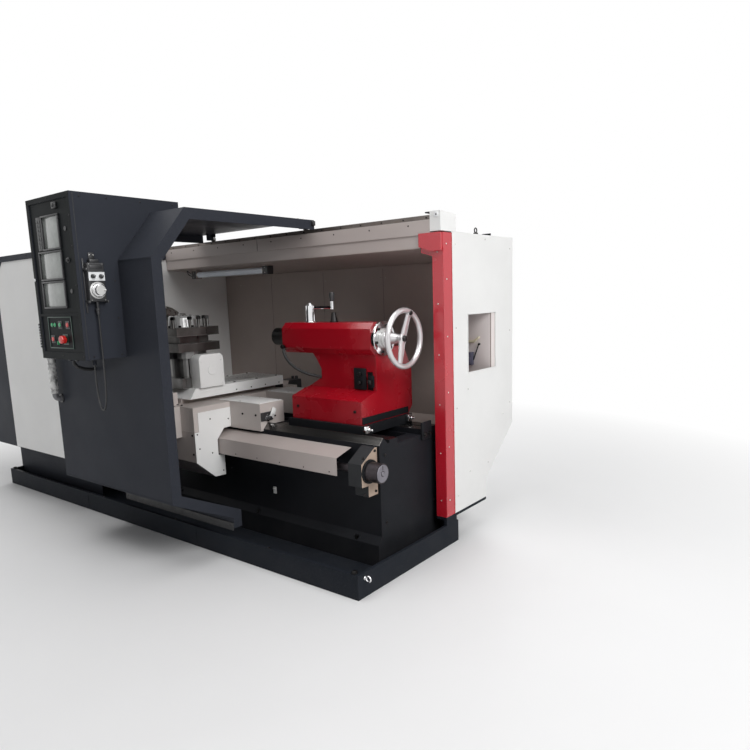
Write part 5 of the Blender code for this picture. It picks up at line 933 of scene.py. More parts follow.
def add_hood():
    Shape().each(ring, grid(-0.100, -0.7903, (0.862, 1.228)), "-Y", 0.0165, 0.026, 0.006,
                 0.0015).finish("handle_rosettes", BLACK_PLASTIC, "hood")
    bends = arc((-0.801, 0.887), 0.025, 270, 180, 6) + arc((-0.801, 1.203), 0.025, 180, 90, 6)
    handle = Shape().tube([(-0.100, y, z) for y, z in [(-0.7903, 0.862), *bends,
                                                       (-0.7903, 1.228)]],
                          0.016, 16).finish("hood_pull", CLEAR_GREY, "hood")
    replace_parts(handle, "hood_handle")
    folds = [(0.0205 + 0.0022 * math.sin(2.3 * step) + 0.0012 * math.sin(5.1 * step),
              0.300 * step / 30) for step in range(31)]
    Shape().spin([(0.0165, 0.0)] + folds + [(0.0165, 0.300)],
                 at((-0.100, -0.826, 0.895), "Z"), 24).finish("hood_pull_film", FILM, "hood")
    Shape().box((-0.150, -0.4275, 0.148), (0.909, -0.4213, 0.192), 0.0015).finish(
        "hood_wiper_strip", RUBBER, "hood")
    Shape().boxes([(-0.1565, -0.786, 0.420, -0.1503, -0.740, 1.590),
                   (-0.1565, -0.560, 1.800, -0.1503, 0.320, 1.836)], 0.002).finish(
                       "hood_edge_seals", RUBBER, "hood")
    screws = Shape().each(pan_screw, grid(-0.1566, -0.762, spaced(0.44, 1.56, 8))
                          + grid(-0.1566, spaced(-0.53, 0.28, 6), 1.818), "-X", 0.0040)
    screws.each(pan_screw, grid(spaced(-0.12, 0.88, 7), -0.4276, 0.176)
                + grid(-0.130, -0.7903, (0.52, 0.80, 1.08, 1.36)), "-Y", 0.0036)
    screws.finish("hood_screws", BLACK_OXIDE, "hood", "steel")
    hangers = Shape()
    bolts = Shape()
    for x in (-0.060, 0.819):
        hangers.boxes([(x - 0.045, 0.230, 1.8403, x + 0.045, 0.330, 1.8455, 0.0012),
                       (x - 0.045, 0.3273, 1.817, x + 0.045, 0.3320, 1.8455, 0.001)])
        bolts.each(hex_bolt, grid((x - 0.030, x + 0.030), (0.252, 0.300), 1.8458), "Z", 0.0055,
                   0.005)
    hangers.finish("roller_hangers", BLACK_CASTING, "hood")
    bolts.finish("roller_hanger_bolts", ZINC, "hood")
    Shape().boxes([(-0.146, -0.7921, 0.398, 0.905, -0.7903, 0.402),
                   (-0.146, -0.7921, 1.594, 0.198, -0.7903, 1.598),
                   (0.629, -0.7921, 1.594, 0.905, -0.7903, 1.598)], 0.0004, 1).finish(
                       "hood_fold_beads", SLATE, "hood")
    stops = Shape()
    for x, side in ((-0.150, -1), (0.909, 1)):
        low, high = sorted((x + side * 0.0008, x + side * 0.0170))
        stops.box((low, 0.300, 1.806), (high, 0.322, 1.834), 0.004)
    stops.finish("hood_buffers", RUBBER, "hood")


# Guard, enclosure, header and cabinet

def add_left_end():
    Shape().each(louvres, [(LEFT_FACE, 0.300, 0.500)], "-X", 16, 0.300, 0.020, 0.006).finish(
        "guard_vents", WHITE, "machine")
    screws = Shape()
    for z in spaced(0.42, 1.56, 7):
        screws.each(pan_screw, grid((-0.600, -1.306), -0.5733, z), "-Y", 0.0042)
    for y in spaced(-0.50, 0.76, 8):
        screws.each(pan_screw, grid(LEFT_FACE, y, (1.660, 0.430)), "-X", 0.0045)
    for z in spaced(0.56, 1.56, 6):
        screws.each(pan_screw, grid(LEFT_FACE, (-0.545, 0.800), z), "-X", 0.0045)
    screws.finish("guard_screws", WHITE, "machine")
    Shape().each(ring, [(LEFT_FACE, *SPINDLE)], "-X", 0.072, 0.105, 0.006, 0.0015, 48).finish(
        "bar_hole_ring", STEEL, "machine")
    Shape().each(socket_screw, circle_places((-1.8063, *SPINDLE), "-X", 0.090, 6, 30), "-X",
                 0.006, 0.006).finish("bar_hole_screws", BLACK_OXIDE, "machine")
    Shape().tube([(LEFT_FACE, -0.470, 0.960), (-1.826, -0.470, 0.960), (-1.834, -0.470, 0.968),
                  (-1.834, -0.470, 1.112), (-1.826, -0.470, 1.120), (LEFT_FACE, -0.470, 1.120)],
                 0.006, 12).finish("guard_pull", CHROME, "machine")
    roof = Shape().each(pan_screw, grid(spaced(-1.75, -0.62, 7), -0.5803, 1.720), "-Y", 0.0036)
    roof.each(hex_bolt, grid((-1.70, -0.70), (-0.45, 0.20), 1.7353), "Z", 0.009, 0.007)
    roof.finish("roof_screws", BLACK_OXIDE, "machine", "steel")


def add_header():
    screws = Shape().each(socket_screw, grid(spaced(-1.68, 1.70, 24), 0.3318, 1.7775), "-Y",
                          0.0042, 0.003)
    screws.each(pan_screw, grid(spaced(-0.50, 1.60, 9), 0.3088, 1.742), "-Y", 0.0042)
    screws.finish("rail_screws", BLACK_OXIDE, "machine")
    Shape().boxes([(0.4190, 0.3080, 1.693, 0.4210, 0.3088, 1.763),
                   (0.4194, 0.3310, 1.767, 0.4206, 0.3318, 1.789)], 0.0002, 1).finish(
                       "header_joint", RUBBER, "machine")
    eyelet = (1.7755, 0.3087, 1.7865)
    Shape().each(ring, [eyelet], "-Y", 0.0052, 0.0130, 0.005, 0.001).finish(
        "header_eyelet", WHITE_PLASTIC, "machine")
    Shape().rod(eyelet, "-Y", 0.0050, 0.003, 0.0008, 20).finish(
        "header_eyelet_plug", BLACK_PLASTIC, "machine")
    Shape().box((1.690, 0.3325, 1.8006), (1.7345, 0.3990, 1.8075), 0.002).finish(
        "rail_end_stop", RUBBER, "machine")
    Shape().each(socket_screw, [(1.712, 0.366, 1.8075)], "Z", 0.006, 0.005).finish(
        "rail_stop_screw", BLACK_OXIDE, "machine")


def add_lamp():
    Shape().boxes([(x, 0.3925, 1.5505, x + 0.051, 0.4475, 1.6062) for x in (-0.3962, 0.3602)],
                  0.003).finish("lamp_caps", BLACK_PLASTIC, "machine")
    Shape().each(ring, grid((-0.3448, 0.3520), 0.420, 1.578), "X", 0.0222, 0.0252, 0.0075,
                 0.001).finish("lamp_bands", CHROME, "machine")
    wires = Shape().tube([(-0.3960, 0.414, 1.585), (-0.430, 0.412, 1.590),
                          (-0.452, 0.408, 1.604), (-0.462, 0.402, 1.6195)], 0.0032, 8)
    wires.tube([(-0.3960, 0.424, 1.571), (-0.438, 0.423, 1.571), (-0.470, 0.420, 1.586),
                (-0.482, 0.416, 1.6175)], 0.0032, 8)
    wires.finish("lamp_wires", RUBBER, "machine")
    Shape().each(pan_screw, grid((-0.372, 0.386), 0.3925, (1.562, 1.594)), "-Y",
                 0.0030).finish("lamp_screws", ZINC, "machine")


def add_post_and_panel():
    Shape().boxes([(RIGHT_FACE, 0.3275, 0.170, 1.8018, 0.3300, 1.626),
                   (RIGHT_FACE, 0.4140, 0.170, 1.8018, 0.4168, 1.696)], 0.0004, 1).finish(
                       "post_edge_beads", RED, "machine")
    screws = Shape().each(pan_screw, grid(RIGHT_FACE, 0.362, (0.260, 0.560, 0.860, 1.160, 1.460,
                                                              1.640)), "X", 0.0042)
    screws.each(pan_screw, grid(1.767, 0.3267, spaced(0.26, 1.60, 6)), "-Y", 0.0036)
    screws.each(pan_screw, [(RIGHT_FACE, y, z) for y, z in (
        (0.572, 0.851), (0.586, 0.371), (0.804, 0.375), (1.000, 0.640), (1.090, 0.700),
        (1.090, 1.150), (1.090, 1.640), (0.780, 1.680), (0.450, 1.640), (0.450, 1.200),
        (0.450, 0.760), (0.450, 0.260))], "X", 0.0045)
    screws.finish("right_side_screws", ZINC, "machine")
    Shape().boxes([(RIGHT_FACE, 0.571, 0.937, 1.8022, 0.909, 0.9445),
                   (RIGHT_FACE, 0.571, 1.2665, 1.8022, 0.909, 1.274),
                   (RIGHT_FACE, 0.571, 0.9445, 1.8022, 0.5785, 1.2665),
                   (RIGHT_FACE, 0.9015, 0.9445, 1.8022, 0.909, 1.2665)], 0.0006).finish(
                       "side_window_rim", WHITE, "machine")
    # Liners on the wall behind the side window; their pale colour is painted light from the window
    Shape().boxes([(1.580, 0.8505, 0.900, 1.7900, 0.8537, 1.330),
                   (1.7850, 0.8587, 0.930, 1.7950, 0.9300, 1.290)], 0.001).finish(
                       "window_liners_painted_light", LINER_AND_PAINTED_LIGHT, "machine")
    Shape().boxes([(1.642, 0.822, 0.955, 1.684, 0.8503, 1.032, 0.003),
                   (1.648, 0.816, 0.963, 1.678, 0.8222, 1.000, 0.002)]).finish(
                       "wall_switch_box", BLUE_GREY, "machine")
    upright = Matrix.Translation((0, 0.8503, 0)) @ Matrix.Rotation(math.pi / 2, 4, 'X')
    Shape().plate([(1.652, 1.088), (1.694, 1.090), (1.724, 1.118), (1.724, 1.126),
                   (1.690, 1.104), (1.652, 1.104)], upright, 0.020, 0.001).finish(
                       "wall_bracket", CREAM, "machine")
    rod = Shape().tube([(1.7250, 0.8400, 1.0880), (1.7180, 0.8400, 1.0700),
                        (1.6900, 0.8400, 0.9960), (1.6868, 0.8400, 0.9870),
                        (1.6830, 0.8380, 0.9850)], 0.0035)
    rod.rod((1.7225, 0.8503, 1.0800), "-Y", 0.0060, 0.014, 0.001, 16)
    rod.finish("wall_rod", BLACK_OXIDE, "machine")
    eye = Shape().each(ring, [(1.788, 0.6938, 1.7058)], "Z", 0.004, 0.013, 0.008, 0.001, 24)
    eye.tube([(1.788, y, z) for y, z in arc((0.6938, 1.7265), 0.013, 0, 360, 20)], 0.0035)
    eye.finish("lifting_eye", BLACK_OXIDE, "machine")


def add_walls():
    Shape().boxes([(x - 0.0009, 0.8540, 0.640, x + 0.0009, 0.8548, 1.560)
                   for x in (-0.05, 0.48, 1.01, 1.54)], 0.0002, 1).finish(
                       "wall_seams", RUBBER, "machine")
    screws = Shape().each(pan_screw, grid((-0.40, -0.07, -0.03, 0.46, 0.50, 0.99, 1.03, 1.52,
                                           1.56, 1.76), 0.8547, (0.70, 1.10, 1.50)), "-Y", 0.0038)
    screws.each(pan_screw, grid(spaced(-0.5, 1.6, 8), 0.360, 1.6155), "-Z", 0.0036)
    screws.finish("wall_screws", ZINC, "machine")


def add_rear():
    hatches = (-0.40, 0.45, 1.28)
    proud = REAR_FACE + 0.004
    Shape().each(louvres, grid((0.20, 1.10), REAR_FACE, 1.240), "Y", 12, 0.320, 0.020,
                 0.006).finish("rear_vents", WHITE, "machine")
    Shape().boxes([(x, REAR_FACE, 0.700, x + 0.420, proud, 1.120) for x in hatches],
                  0.0012).finish("rear_hatches", WHITE, "machine")
    handles = Shape()
    screws = Shape()
    for x in hatches:
        middle = x + 0.21
        handles.tube([(middle + dx, REAR_FACE + dy, 0.910) for dx, dy in (
            (-0.06, 0.004), (-0.06, 0.024), (-0.052, 0.032), (0.052, 0.032), (0.06, 0.024),
            (0.06, 0.004))], 0.005)
        screws.each(pan_screw, grid((x + 0.015, x + 0.21, x + 0.405), REAR_FACE + 0.0042,
                                    (0.715, 1.105)), "Y", 0.0045)
    screws.each(pan_screw, grid(spaced(-0.55, 1.72, 11), REAR_FACE, (1.680, 0.600)), "Y", 0.0045)
    screws.each(pan_screw, grid(spaced(-1.0, 1.70, 9), (0.50, 1.08), 1.7058), "Z", 0.0045)
    handles.finish("rear_hatch_handles", BLACK_OXIDE, "machine")
    screws.finish("rear_screws", ZINC, "machine")
    Shape().boxes([(x - 0.030, y - 0.004, 1.7058, x + 0.030, y + 0.004, 1.7350)
                   for x in (-0.45, 1.68) for y in (0.56, 1.02)], 0.003).finish(
                       "roof_lifting_lugs", BLACK_CASTING, "machine")


def add_cabinet():
    face = REAR_FACE
    handle = Shape().boxes([(-0.700, face, 0.860, -0.664, face + 0.010, 1.010, 0.003),
                            (-0.692, face + 0.010, 0.875, -0.672, face + 0.024, 0.995, 0.004)])
    handle.finish("cabinet_handle", BLACK_PLASTIC, "cabinet_door")
    Shape().box((-0.820, face, 1.430), (-0.740, face + 0.004, 1.510), 0.0015).finish(
        "isolator_plate", BLACK_PLASTIC, "cabinet_door")
    turn = Shape().rod((-0.780, face + 0.004, 1.470), "Y", 0.026, 0.010, 0.002, 32)
    turn.box((-0.787, face + 0.014, 1.442), (-0.773, face + 0.030, 1.498), 0.004)
    turn.finish("isolator_switch", RED_PLASTIC, "cabinet_door")
    Shape().each(louvres, [(-1.420, face, 0.260)], "Y", 12, 0.260, 0.018, 0.006).finish(
        "cabinet_vents", CABINET, "cabinet_door")
    Shape().box((-1.440, face, 1.440), (-1.280, face + 0.010, 1.600), 0.004).finish(
        "cabinet_fan_grille", BLACK_PLASTIC, "cabinet_door")
    Shape().boxes([(-1.430, face + 0.010, z, -1.290, face + 0.013, z + 0.006)
                   for z in spaced(1.455, 1.580, 10)], 0.001).finish(
                       "cabinet_fan_slats", CLEAR_GREY, "cabinet_door")
    hinges = Shape()
    for z in (0.300, 0.900, 1.500):
        hinge(hinges, (-1.7872, 1.1342, z), 0.080, 0.0048)
        hinges.box((-1.7830, 1.0900, z), (-1.7803, 1.1340, z + 0.080), 0.0006)
    hinges.finish("cabinet_hinges", BLACK_OXIDE, "machine")
    Shape().each(pan_screw, grid(-0.635, face, spaced(0.22, 1.65, 6)), "Y", 0.0042).finish(
        "cabinet_screws", ZINC, "cabinet_door")
    gland = Shape()
    for y in (0.88, 0.93, 0.98, 1.03):
        gland.rod((-1.7803, y, 0.235), "-X", 0.013, 0.007, 0.001, 20)
        gland.rod((-1.7870, y, 0.235), "-X", 0.010, 0.014, 0.002, 20)
    gland.finish("cabinet_glands", BLACK_PLASTIC, "machine")


def add_tray():
    bolts = Shape().each(hex_bolt, grid((-1.765, 1.765), (-0.428475, 0.428475), 0.1203), "Z",
                         0.011, 0.010)
    bolts.each(hex_bolt, grid((-1.2, -0.4, 0.4, 1.2), -0.4400, 0.1203), "Z", 0.0055, 0.005)
    bolts.finish("levelling_bolts", BLACK_OXIDE, "machine")
    eye = Shape().rod((RIGHT_FACE, -0.400, 0.095), "X", 0.0095, 0.004)
    eye.rod((1.8043, -0.400, 0.095), "X", 0.0055, 0.006, 0.001, 20)
    eye.tube([(x, -0.400, z) for x, z in arc((1.8225, 0.095), 0.0135, 0, 360, 20)], 0.0042)
    eye.finish("tray_eye_bolt", CHROME, "machine")
    Shape().boxes([(x - 0.0015, -0.4505, 0.002, x + 0.0015, -0.4492, 0.118)
                   for x in (-0.60, 0.60)], 0.0003, 1).finish(
                       "tray_weld_beads", SLATE_TRAY, "machine")


# Bed, drives, screw

def add_bed():
    plugs = Shape().each(socket_screw, grid(spaced(-1.45, 1.60, 12), -0.1303, 0.560), "-Y",
                         0.009, 0.004)
    plugs.each(hex_bolt, grid(spaced(-1.5, 1.62, 9), 0.442, 0.165), "Y", 0.007, 0.006)
    plugs.finish("bed_side_screws", BLACK_OXIDE, "machine")
    Shape().each(socket_screw, grid(1.7003, (-0.085, 0.355), (0.250, 0.600)), "X", 0.008,
                 0.004).finish("bed_end_screws", BLACK_OXIDE, "machine")
    Shape().box((1.7003, 0.235, 0.612), (1.7125, 0.325, 0.708), 0.003).finish(
        "tailstock_stops", BLACK_CASTING, "machine")
    Shape().each(hex_bolt, grid(1.7126, (0.258, 0.302), 0.640), "X", 0.008, 0.008).finish(
        "tailstock_stop_bolts", BLACK_OXIDE, "machine")
    Shape().boxes([(0.922, -0.1335, 0.285, 0.946, -0.1303, 0.326, 0.001),
                   (0.928, -0.1435, 0.312, 0.940, -0.1334, 0.322, 0.002)]).finish(
                       "bed_hook_plate", PALE_METAL, "machine")
    jacks = Shape()
    for x in (-1.45, -0.70, 0.05, 0.80, 1.55):
        jacks.spin(disc(0, 0.010, 0.024), at((x, -0.1470, 0.146)), flats=(1, 2))
    jacks.finish("bed_levelling_screws", BLACK_OXIDE, "machine")


def add_screw_line():
    Shape().each(ring, [(1.6853, -0.195, 0.540)], "X", 0.0505, 0.0600, 0.010, 0.0015, 48).finish(
        "bracket_bearing_cap", BLACK_CASTING, "machine")
    end = (1.7656, -0.195, 0.540)
    face = Shape().each(ring, [end], "X", 0.014, 0.044, 0.0035, 0.001, 48)
    face.rod(end, "X", 0.011, 0.006).finish("screw_end_disc", DULL_STEEL, "z_screw")
    Shape().box((1.7658, -0.197, 0.558), (1.7700, -0.193, 0.579), 0.0005).finish(
        "screw_end_mark", BLACK_OXIDE, "z_screw")
    screws = Shape().each(socket_screw, [(1.6853, y, z) for y, z in (
        (-0.243, 0.430), (-0.243, 0.615), (-0.150, 0.430), (-0.150, 0.635))], "X", 0.0065, 0.006)
    screws.each(pan_screw, grid(spaced(-0.50, 1.47, 12), -0.2503, 0.520), "-Y", 0.0036)
    screws.finish("screw_line_screws", BLACK_OXIDE, "machine")
    Shape().boxes([(x, -0.2625, 0.4735, x + 0.005, -0.2603, 0.6065)
                   for x in spaced(-1.475, -1.335, 10)], 0.0006).finish(
                       "feed_motor_fins", BLACK_PLASTIC, "machine")


def add_main_motor():
    centre = (0.660, 0.460)
    fins = Shape()
    for step in range(44):
        angle = 2 * math.pi * step / 44
        if math.cos(angle) < -0.62:
            continue
        turn = Matrix.Translation((0, *centre)) @ Matrix.Rotation(angle, 4, 'X')
        fins.box((-1.500, 0.1395, -0.0018), (-1.210, 0.1520, 0.0018), turn=turn)
    fins.finish("motor_fins", MOTOR_PAINT, "machine")
    cowl = Shape()
    for x in (-1.205, -1.512):
        cowl.spin(collar(0.1405, 0.154, 0.006), at((x, *centre), "X"), 48)
    cowl.finish("motor_bands", MOTOR_PAINT, "machine")
    terminal = Shape().box((-1.420, 0.600, 0.6003), (-1.300, 0.720, 0.650), 0.006)
    terminal.rod((-1.360, 0.5997, 0.626), "-Y", 0.013, 0.022, 0.002, 20)
    terminal.finish("motor_terminal_box", MOTOR_PAINT, "machine")
    Shape().each(pan_screw, grid((-1.410, -1.310), (0.610, 0.710), 0.6503), "Z",
                 0.0045).finish("motor_screws", ZINC, "machine")


# Carriage

def add_carriage():
    screws = Shape().each(pan_screw, [(0.6086, y, z) for y, z in (
        (-0.395, 0.645), (-0.300, 0.720), (-0.300, 0.520), (-0.230, 0.400), (-0.170, 0.400),
        (-0.170, 0.700), (-0.385, 0.560))], "X", 0.0045)
    for x, high in ((0.150, 0.600), (0.250, 0.600), (0.400, 0.600), (0.585, 0.640)):
        screws.each(socket_screw, grid(x, -0.4103, (0.530, high)), "-Y", 0.0060, 0.004)
    screws.each(socket_screw, grid((0.160, 0.230, 0.390, 0.460), -0.4703, 0.770), "-Y", 0.0060,
                0.004)
    screws.each(socket_screw, grid((0.150, 0.170, 0.430, 0.470), (-0.440, -0.385), 0.8003), "Z",
                0.0060, 0.004)
    screws.finish("carriage_screws", BLACK_OXIDE, "carriage")
    nose = Shape().each(socket_screw, grid((0.206, 0.384), (-0.455, -0.380), 0.8683), "Z",
                        0.0055, 0.004)
    nose.each(socket_screw, grid(0.4003, -0.415, (0.815, 0.850)), "X", 0.0050, 0.004)
    nose.finish("nose_cover_screws", ZINC, "carriage")
    Shape().boxes([(x, y0, z, x + thick, y1, z + 0.050)
                   for y0, y1, z in ((-0.148, -0.058, 0.7005), (0.332, 0.398, 0.6765))
                   for x, thick in ((0.8683, 0.006), (-0.1243, 0.004))], 0.001).finish(
                       "way_wipers", RUBBER, "carriage")
    plates = Shape().box((0.8743, 0.334, 0.6865), (0.8773, 0.396, 0.7245), 0.001)
    plates.each(pan_screw, grid(0.8774, (0.346, 0.384), 0.7065), "X", 0.0040)
    plates.finish("wiper_plates", ZINC, "carriage")
    turn = Matrix.Translation((0.8745, *LATCH)) @ Matrix.Rotation(math.radians(-28), 4, 'X')
    latch = Shape().box((0, -0.014, -0.030), (0.009, 0.014, 0.030), 0.003, 2, turn)
    latch.box((0.009, -0.010, -0.012), (0.016, 0.010, 0.022), 0.003, 2, turn)
    latch.finish("saddle_latch", PALE_METAL, "carriage")
    Shape().each(socket_screw, [(0.8836, LATCH[0] + 0.010, LATCH[1] - 0.019)], "X", 0.0055,
                 0.004).finish("saddle_latch_screw", BLACK_OXIDE, "carriage")
    gibs = Shape()
    for x in spaced(-0.080, 0.830, 9):
        if x < 0.10 or x > 0.63:
            socket_screw(gibs, (x, -0.1493, 0.735), "-Y", 0.0060, 0.004)
        if x < 0.15 or x > 0.50:
            socket_screw(gibs, (x, 0.4503, 0.735), "Y", 0.0060, 0.004)
    gibs.finish("saddle_gib_screws", BLACK_OXIDE, "carriage")
    Shape().boxes([(x0, y0, 0.8002, x1, y1, 0.8042)
                   for y0, y1 in ((-0.146, 0.028), (0.242, 0.442))
                   for x0, x1 in ((0.508, 0.862), (-0.114, 0.124))], 0.0015).finish(
                       "saddle_lids", WHITE, "carriage")
    Shape().each(pan_screw, [(x, y, 0.8043) for low, high in ((0.520, 0.850), (-0.102, 0.112))
                             for y in (-0.134, 0.016, 0.254, 0.430)
                             for x in (low, (low + high) / 2, high)], "Z", 0.0045).finish(
                                 "saddle_lid_screws", ZINC, "carriage")
    servo = Shape().box((0.270, 0.7003, 0.727), (0.356, 0.712, 0.813), 0.004)
    servo.rod((0.338, 0.680, 0.8193), "Z", 0.011, 0.022, 0.002, 20)
    servo.rod((0.300, 0.680, 0.8193), "Z", 0.010, 0.018, 0.002, 20)
    servo.finish("cross_motor_cap", BLACK_PLASTIC, "carriage")
    Shape().rod((0.8775, -0.098, 0.716), "X", 0.013, 0.022, 0.002).finish(
        "oil_return_stub", BLACK_PLASTIC, "carriage")
    Shape().spin(disc(0, 0.018, 0.006), at((0.8715, -0.098, 0.716), "X"), flats=(1, 2)).finish(
        "oil_return_nut", CHROME, "carriage")


def add_cross_slide():
    screws = Shape()
    for y in spaced(0.010, 0.370, 4):
        socket_screw(screws, (0.4833, y, 0.842), "X", 0.0040, 0.003)
        socket_screw(screws, (0.1427, y, 0.842), "-X", 0.0040, 0.003)
    screws.each(socket_screw, grid((0.168, 0.458), (0.02, 0.20, 0.37), 0.8853), "Z", 0.0070,
                0.004)
    screws.finish("cross_slide_screws", BLACK_OXIDE, "cross_slide")
    Shape().box((0.190, -0.020, 0.8853), (0.436, 0.395, 0.8885), 0.001).finish(
        "cross_slide_plate", BRUSHED, "cross_slide")
    Shape().boxes([(x, 0.4103, 0.790, x + 0.072, 0.4150, 0.860) for x in (0.1500, 0.4040)],
                  0.001).finish("cross_slide_wipers", RUBBER, "cross_slide")


# Tool post

def post_bolts():
    places = []
    for side in range(4):
        turn = Matrix.Rotation(side * math.pi / 2, 2)
        for number in range(3):
            local = turn @ Vector((0.147 - 0.022, (number - 1) * 0.062 + 0.022))
            places.append((POST[0] + local.x, POST[1] + local.y))
    return places


def add_tool_post():
    heads = Shape()
    collars = Shape()
    for x, y in post_bolts():
        heads.spin(head(0, 0.0098, 0.016, 0.0080, 0.019),
                   at((x, y, 1.2853), "Z", RANDOM.uniform(0, 1)), flats=(1, 2), sides=4)
        collars.each(ring, grid(x, y, spaced(1.2520, 1.2805, 9)), "Z", 0.0088, 0.0098, 0.0016,
                     0.0004, 16)
    heads.finish("clamp_bolt_heads", BLACK_OXIDE, "tool_post")
    collars.finish("clamp_bolt_threads", DARK_STEEL, "tool_post")
    bands = Shape()
    left, right, front, back = 0.1658, 0.4602, -0.3702, -0.0758
    lip = 0.0008
    for z in (1.1445, 1.1900):
        bands.boxes([(*low, z, *high, z + 0.0045) for low, high in (
            ((left - lip, front - lip), (right + lip, front)),
            ((left - lip, back), (right + lip, back + lip)),
            ((left - lip, front), (left, back)), ((right, front), (right + lip, back)))],
                    0.0003, 1)
    bands.finish("tool_post_ground_edges", DARK_STEEL, "tool_post")
    slots = Shape()
    for index in range(8):
        slots.box((0.0880, -0.008, 0.0002), (0.0960, 0.008, 0.011), 0.0005, 1,
                  at((*POST, 1.2406), "Z", math.pi * index / 4))
    slots.finish("cap_foot_slots", BLACK_OXIDE, "tool_post")
    top = (*POST, 1.3066)
    nut = Shape().spin(disc(0, 0.030, 0.002), at(top), 40)
    nut.spin(head(0.002, 0.019, 0.012, 0.016, 0.015), at(top, "Z", 0.3), flats=(1, 2))
    nut.finish("cap_nut", STEEL, "tool_post")
    Shape().each(socket_screw, circle_places(top, "Z", 0.056, 6, 30), "Z", 0.0055,
                 0.003).finish("cap_screws", BLACK_OXIDE, "tool_post")


def add_turret_base():
    Shape().each(socket_screw, [(0.218, -0.318, 0.9453), (0.218, -0.128, 0.9453),
                                (0.408, -0.318, 0.9453)], "Z", 0.0085, 0.009).finish(
                                    "turret_base_bolts", BLACK_OXIDE, "cross_slide")
    corners = [(-0.268, 0.8858), (-0.092, 0.8858)]
    corners += arc((-0.124, 1.0480), 0.032, 0, 90, 8) + arc((-0.236, 1.0480), 0.032, 90, 180, 8)
    Shape().plate(corners, at((0.4100, 0, 0), "X"), 0.0935, 0.0012).finish(
        "gearbox_cover", WHITE, "cross_slide")
    Shape().rod((0.5037, -0.180, 0.985), "X", 0.030, 0.004, 0.0015, 40).finish(
        "gearbox_cap", WHITE, "cross_slide")
    Shape().each(pan_screw, grid(0.5037, (-0.252, -0.108), (0.905, 1.040)), "X",
                 0.0045).finish("gearbox_cover_screws", WHITE, "cross_slide")


# Tailstock

def add_tailstock():
    Shape().each(ring, [(0.8567, *SPINDLE)], "-X", 0.0540, 0.0760, 0.012, 0.002, 48).finish(
        "quill_collar", BLACK_OXIDE, "tailstock")
    screws = Shape().each(socket_screw, circle_places((0.8446, *SPINDLE), "-X", 0.0650, 6, 15),
                          "-X", 0.0045, 0.003)
    screws.each(socket_screw, circle_places((1.5346, *SPINDLE), "X", 0.0720, 6, 15), "X",
                0.0075, 0.006)
    screws.each(socket_screw, grid((1.055, 1.470), -0.0303, 0.790), "-Y", 0.0080, 0.005)
    screws.finish("tailstock_screws", BLACK_OXIDE, "tailstock")
    scale = (1.5347, *SPINDLE)
    Shape().each(ring, [scale], "X", 0.0455, 0.0530, 0.022, 0.001, 48).finish(
        "handwheel_scale_ring", BRUSHED, "tailstock")
    marks = Shape()
    for index in range(60):
        turn = Matrix.Translation(scale) @ Matrix.Rotation(2 * math.pi * index / 60, 4, 'X')
        long = 0.012 if index % 5 == 0 else 0.007
        marks.box((0.0215 - long, 0.0530, -0.0004), (0.0215, 0.0533, 0.0004), turn=turn)
    marks.finish("handwheel_scale_marks", BLACK_OXIDE, "tailstock")
    Shape().spin([(0, 0.0512), (0.0102, 0.0512), (0.0186, 0), (0.024, 0), (0.024, 0.006),
                  (0.0195, 0.008), (0.0125, 0.048), (0.0125, 0.054), (0, 0.054)],
                 at((1.182, SPINDLE_Y, 1.2483)), 32).finish(
                     "oil_cup_cap", BLACK_OXIDE, "tailstock")
    Shape().each(ring, [(1.005, SPINDLE_Y, 1.2484)], "Z", 0.0315, 0.0400, 0.005, 0.0015,
                 40).finish("lever_seat_ring", CHROME, "tailstock")
    Shape().tube([(0.868, 0.0645, 1.104), (0.876, 0.052, 1.082), (0.898, 0.046, 1.050),
                  (0.930, 0.046, 1.018), (0.968, 0.050, 0.992), (1.008, 0.060, 0.972),
                  (1.052, 0.075, 0.956), (1.090, 0.094, 0.946), (1.121, 0.1035, 0.9405)],
                 0.0085, 12).finish("tailstock_hose", RUBBER, "tailstock")
    Shape().rod((0.868, 0.0655, 1.111), "-Y", 0.0125, 0.020, 0.002, 20).finish(
        "hose_unions", BLACK_OXIDE, "tailstock")
    Shape().boxes([(1.366, 0.0930, 0.888, 1.4496, 0.1046, 1.004),
                   (1.4506, 0.1090, 0.8862, 1.5130, 0.1546, 0.9842),
                   (1.462, 0.0960, 0.902, 1.500, 0.1092, 0.966, 0.003)], 0.004).finish(
                       "clamp_plate", BLACK_CASTING, "tailstock")
    clamp = Shape().rod((1.412, 0.0932, 0.972), "-Y", 0.012, 0.012, 0.002)
    clamp.rod((1.412, 0.0932, 0.925), "-Y", 0.010, 0.014, 0.002)
    clamp.spin(head(0, 0.0115, 0.016, 0.009, 0.019), at((1.482, 0.0962, 0.932), "-Y"),
               flats=(1, 2), sides=4)
    clamp.finish("clamp_shafts", BLACK_OXIDE, "tailstock")
    blocks = Shape()
    pins = Shape()
    for y in (-0.030, 0.350):
        blocks.box((1.5323, y - 0.018, 0.684), (1.5560, y + 0.018, 0.7220), 0.003)
        pins.spin(head(0, 0.0085, 0.010, 0.007, 0.012), at((1.5563, y, 0.703), "X"),
                  flats=(1, 2))
        pins.rod((1.5680, y, 0.703), "X", 0.0055, 0.014, 0.001, 16)
    blocks.finish("adjuster_blocks", CHROME, "tailstock")
    pins.finish("adjuster_screws", CHROME, "tailstock")
    Shape().boxes([(1.5145, -0.028, 0.7235, 1.5165, 0.388, 0.7600)], 0.0006, 1).finish(
        "tailstock_end_strip", BLACK_CASTING, "tailstock")


